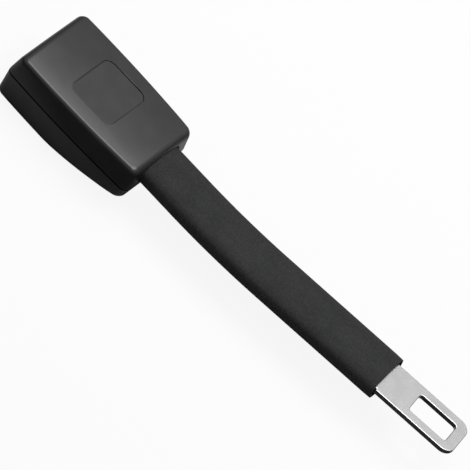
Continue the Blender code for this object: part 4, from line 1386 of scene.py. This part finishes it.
@dataclass
class ReleaseButton:
    """The red button: a dished cap, the flange that keeps it in, and two ramps that work the latch."""

    front: float = 1.3 * MM
    depth: float = 9.0 * MM
    half_width: float = 14.6 * MM
    bottom: float = 4.4 * MM
    top: float = 16.4 * MM
    corner: float = 1.6 * MM
    face_edge: float = 0.8 * MM
    dish: float = 0.35 * MM
    dish_border: float = 0.9 * MM
    dish_radius: float = 1.2 * MM
    dish_foot: float = 0.2 * MM
    dish_rim: float = 0.25 * MM
    flange_start: float = 3.6 * MM
    flange_thickness: float = 2.0 * MM
    flange_half_width: float = 18.9 * MM
    flange_margin: float = 0.9 * MM
    wall: float = 1.8 * MM
    arm_inner: float = 8.9 * MM
    arm_width: float = 2.9 * MM
    arm_tip: float = 27.0 * MM
    ramp_end: float = 25.0 * MM
    ramp_run: float = 5.0 * MM
    ramp_high: float = 12.0 * MM
    ramp_fall: float = 4.6 * MM

    def build(self, material: bpy.types.Material) -> bpy.types.Object:
        """Model the button.

        Args:
            material: the button's plastic.

        Returns:
            The finished piece.
        """
        rear = self.front + self.depth
        low = (self.front, -self.half_width, self.bottom)
        cap = Bench.rounded("button_cap", low, (rear, self.half_width, self.top), 0, self.corner, 7)
        cap.select_rim(lambda p, a, b: a.x < -FACING and abs(b.x) < ASIDE)
        cap.bevel(self.face_edge, 5)
        cap.combine("DIFFERENCE", self._dish())
        cap.select_rim(lambda p, a, b: a.x < -0.99 and abs(b.x) < ASIDE, True)
        cap.bevel(self.dish_rim, 3)
        cap.combine("UNION", self._flange(), *self._ramps())
        inner = self.arm_inner - self.wall
        cap.combine("DIFFERENCE", Bench.rounded(
            "hollow", (self.front + 2.0 * self.wall, -inner, self.bottom + self.wall),
            (rear + OVERRUN, inner, self.top - self.wall), 0, self.corner, 5))
        cap.place((BUTTON_END, 0.0, 0.0))
        cap.smooth()
        return cap.deliver("button", "button_plastic", material, "release_button")

    def _dish(self) -> Bench:
        """The tool that sinks the field that a thumb rests on."""
        border = self.face_edge + self.dish_border
        half = self.half_width - border
        tool = Bench.rounded(
            "dish", (self.front - OVERRUN, -half, self.bottom + border),
            (self.front + self.dish, half, self.top - border), 0, self.dish_radius, 6)
        tool.select_rim(lambda p, a, b: a.x > FACING and abs(b.x) < ASIDE)
        tool.bevel(self.dish_foot, 3)
        return tool

    def _flange(self) -> Bench:
        """The flange that stays behind the covers' end wall."""
        low = (self.flange_start, -self.flange_half_width, self.bottom + self.flange_margin)
        rear = self.flange_start + self.flange_thickness
        high = (rear, self.flange_half_width, self.top - self.flange_margin)
        return Bench.rounded("flange", low, high, 0, self.corner, 4)

    def _ramps(self) -> Iterator[Bench]:
        """The two arms whose ramps press the latch down.

        Returns:
            The arms, one by one.
        """
        root = self.front + self.depth - self.wall
        foot = self.ramp_end - self.ramp_run
        top = self.top - self.flange_margin
        for sign in (-1.0, 1.0):
            low, high = sorted((sign * self.arm_inner, sign * (self.arm_inner + self.arm_width)))
            arm = Bench.block("ramp", (root, low, self.ramp_high), (self.arm_tip, high, top))
            for x in (self.ramp_end, foot):
                arm.slice((x, 0.0, 0.0), (1.0, 0.0, 0.0))
            arm.select(
                Element.VERTEX, lambda p, n: p.x < foot + CLOSE and p.z < self.ramp_high + BESIDE)
            arm.move((0.0, 0.0, -self.ramp_fall))
            yield arm


@dataclass
class Works:
    """What keeps its solid: the frame, latch, pin, ejector, springs, cables, clamps and rivets."""

    plated: bpy.types.Material
    bright: bpy.types.Material
    natural: bpy.types.Material
    wire: bpy.types.Material
    cable: bpy.types.Material

    def dress(self) -> None:
        """Give each node its finish."""
        finishes = {
            "buckle_frame": self.plated,
            "latch": self.plated,
            "cable_clamp_buckle": self.plated,
            "cable_clamp_tongue": self.plated,
            "latch_pin": self.bright,
            "ejector": self.natural,
            "cable_left": self.cable,
            "cable_right": self.cable,
        }
        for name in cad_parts:
            if name.startswith("rivet"):
                finishes[name] = self.bright
            elif name.endswith("spring") or "spring_" in name:
                finishes[name] = self.wire
        for name, material in finishes.items():
            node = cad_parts[name]
            node.data.materials.clear()
            node.data.materials.append(material)
            log.info("%s: keeps its solid, finish %s", name, material.name)


@dataclass
class Studio:
    """The camera at the photograph's angle, the floor, the card, the room's light and the lamp."""

    azimuth: float = math.radians(7.502)
    elevation: float = math.radians(42.605)
    roll: float = math.radians(41.595)
    distance: float = 3.90046
    target: Triple = (0.100935, 0.004669, 0.01785)
    lens: float = 689.36
    sensor: float = 36.0
    sight: float = 20.0
    floor_size: float = 14.0
    card_size: float = 2.6
    card_middle: float = 0.1
    floor_depth: float = 0.4 * MM
    room_dark: float = 0.05
    room_light: float = 0.74
    room_up: float = 1.2
    room_across: float = 0.25
    room_span: Span = (0.15, 1.05)
    lamp_at: Triple = (0.09, 0.29, 0.75)
    lamp_size: Span = (0.76, 0.6)
    lamp_power: float = 6.5

    def camera(self) -> None:
        """Set the camera where the photograph was taken from."""
        across = math.cos(self.elevation)
        level = (across * math.sin(self.azimuth), -across * math.cos(self.azimuth))
        towards = Vector((*level, math.sin(self.elevation)))
        right = Vector((0.0, 0.0, 1.0)).cross(towards).normalized()
        up = towards.cross(right)
        c, s = math.cos(self.roll), math.sin(self.roll)
        axes = (right * c + up * s, up * c - right * s, towards)
        data = bpy.data.cameras.new("photo_camera")
        data.lens = self.lens
        data.sensor_width = self.sensor
        data.clip_end = self.sight
        camera = bpy.data.objects.new("photo_camera", data)
        bpy.context.scene.collection.objects.link(camera)
        turn = Matrix(axes).transposed().to_4x4()
        camera.matrix_world = Matrix.Translation(Vector(self.target) + self.distance * towards) @ turn
        bpy.context.scene.camera = camera

    @staticmethod
    def _plane(
        name: str, size: float, at: Triple, material: bpy.types.Material
    ) -> bpy.types.Object:
        """Lay a square plane.

        Args:
            name: its name.
            size: the length of its side.
            at: its middle.
            material: its finish.

        Returns:
            The plane.
        """
        Bench.clear()
        bpy.ops.mesh.primitive_plane_add(size=size, location=at)
        plane = bpy.context.object
        plane.name = name
        plane.data.materials.append(material)
        return plane

    def ground(self) -> None:
        """Lay the floor under the object, and the card over it, out of the camera's sight."""
        self._plane("floor", self.floor_size, (0.0, 0.0, -self.floor_depth), StudioFloor().material())
        name = "table_card"
        at = (self.card_middle, 0.0, -0.5 * self.floor_depth)
        card = self._plane(name, self.card_size, at, Card(name).material())
        card.visible_camera = False
        card.visible_shadow = False
        card.visible_diffuse = False

    def lamp(self) -> None:
        """Hang the softbox, which shines straight down."""
        data = bpy.data.lights.new("overhead_softbox", "AREA")
        data.shape = "RECTANGLE"
        data.size, data.size_y = self.lamp_size
        data.energy = self.lamp_power
        lamp = bpy.data.objects.new(data.name, data)
        bpy.context.scene.collection.objects.link(lamp)
        lamp.location = self.lamp_at
        lamp.rotation_euler = Vector((0.0, 0.0, -1.0)).to_track_quat("-Z", "Y").to_euler()

    def world(self) -> None:
        """Fill the room with soft light that falls off towards the camera's side."""
        recipe = Recipe("studio", True)
        heading = recipe.node("ShaderNodeTexCoord").outputs["Generated"]
        parts = recipe.node("ShaderNodeSeparateXYZ", {}, {0: heading}).outputs
        across, up = Signal(recipe, parts[1]), Signal(recipe, parts[2])
        lit = (up * self.room_up + across * self.room_across).rise(*self.room_span)
        strength = self.room_dark + lit * (self.room_light - self.room_dark)
        camera = Signal(recipe, recipe.node("ShaderNodeLightPath").outputs["Is Camera Ray"])
        strength = strength * (1.0 - camera) + camera
        sky = recipe.node("ShaderNodeBackground", {}, {"Color": WHITE, "Strength": strength})
        recipe.tree.links.new(sky.outputs[0], recipe.output.inputs["Surface"])
        bpy.context.scene.world = recipe.material

    def build(self) -> None:
        """Set up the whole studio."""
        bpy.context.scene.view_settings.view_transform = "Standard"
        self.camera()
        self.world()
        self.ground()
        self.lamp()


def main() -> None:
    """Build every sub-assembly, dress it, and set up the studio."""
    logging.basicConfig(level=logging.INFO, format="%(name)s: %(message)s")
    black = MouldedPlastic(
        "moulded_black", (0.0095, 0.0098, 0.0102), (0.0135, 0.0138, 0.0144), 0.23, 0.27)
    red = MouldedPlastic("moulded_red", (0.42, 0.010, 0.009), (0.5, 0.016, 0.013), 0.3, 0.4)
    natural = MouldedPlastic("moulded_natural", (0.56, 0.56, 0.52), (0.62, 0.62, 0.58), 0.42, 0.52)
    sleeve = DrawnSleeve(
        "sleeve_black", (0.0105, 0.0107, 0.0111), (0.0225, 0.0228, 0.0235), 0.66, 0.76)
    cable = DrawnSleeve("cable_cover", (0.012, 0.012, 0.012), (0.018, 0.018, 0.018))
    tongue = Metal(
        "tongue_steel", (0.575, 0.575, 0.58), (0.615, 0.615, 0.62), Coat.BRUSHED, 0.17, 0.22,
        turn=Arm().bend_angle, line_depth=0.0006 * MM)
    plated = Metal(
        "plated_steel", (0.42, 0.42, 0.39), (0.58, 0.58, 0.55), Coat.PLATED, 0.3, 0.46)
    bright = Metal("bright_steel", (0.56, 0.56, 0.56), (0.66, 0.66, 0.66), Coat.DRAWN, 0.2, 0.3)
    wire = Metal("spring_wire", (0.30, 0.30, 0.31), (0.42, 0.42, 0.42), Coat.DRAWN, 0.25, 0.36)
    pieces = [*Housing().build(black.material())]
    pieces.append(ReleaseButton().build(red.material()))
    pieces.append(Sleeve().build(sleeve.material()))
    pieces.append(Tongue().build(tongue.material()))
    Works(*(finish.material() for finish in (plated, bright, natural, wire, cable))).dress()
    log.info("modelled here: %s", ", ".join(piece.name for piece in pieces))
    Studio().build()


if __name__ == "__main__":
    main()
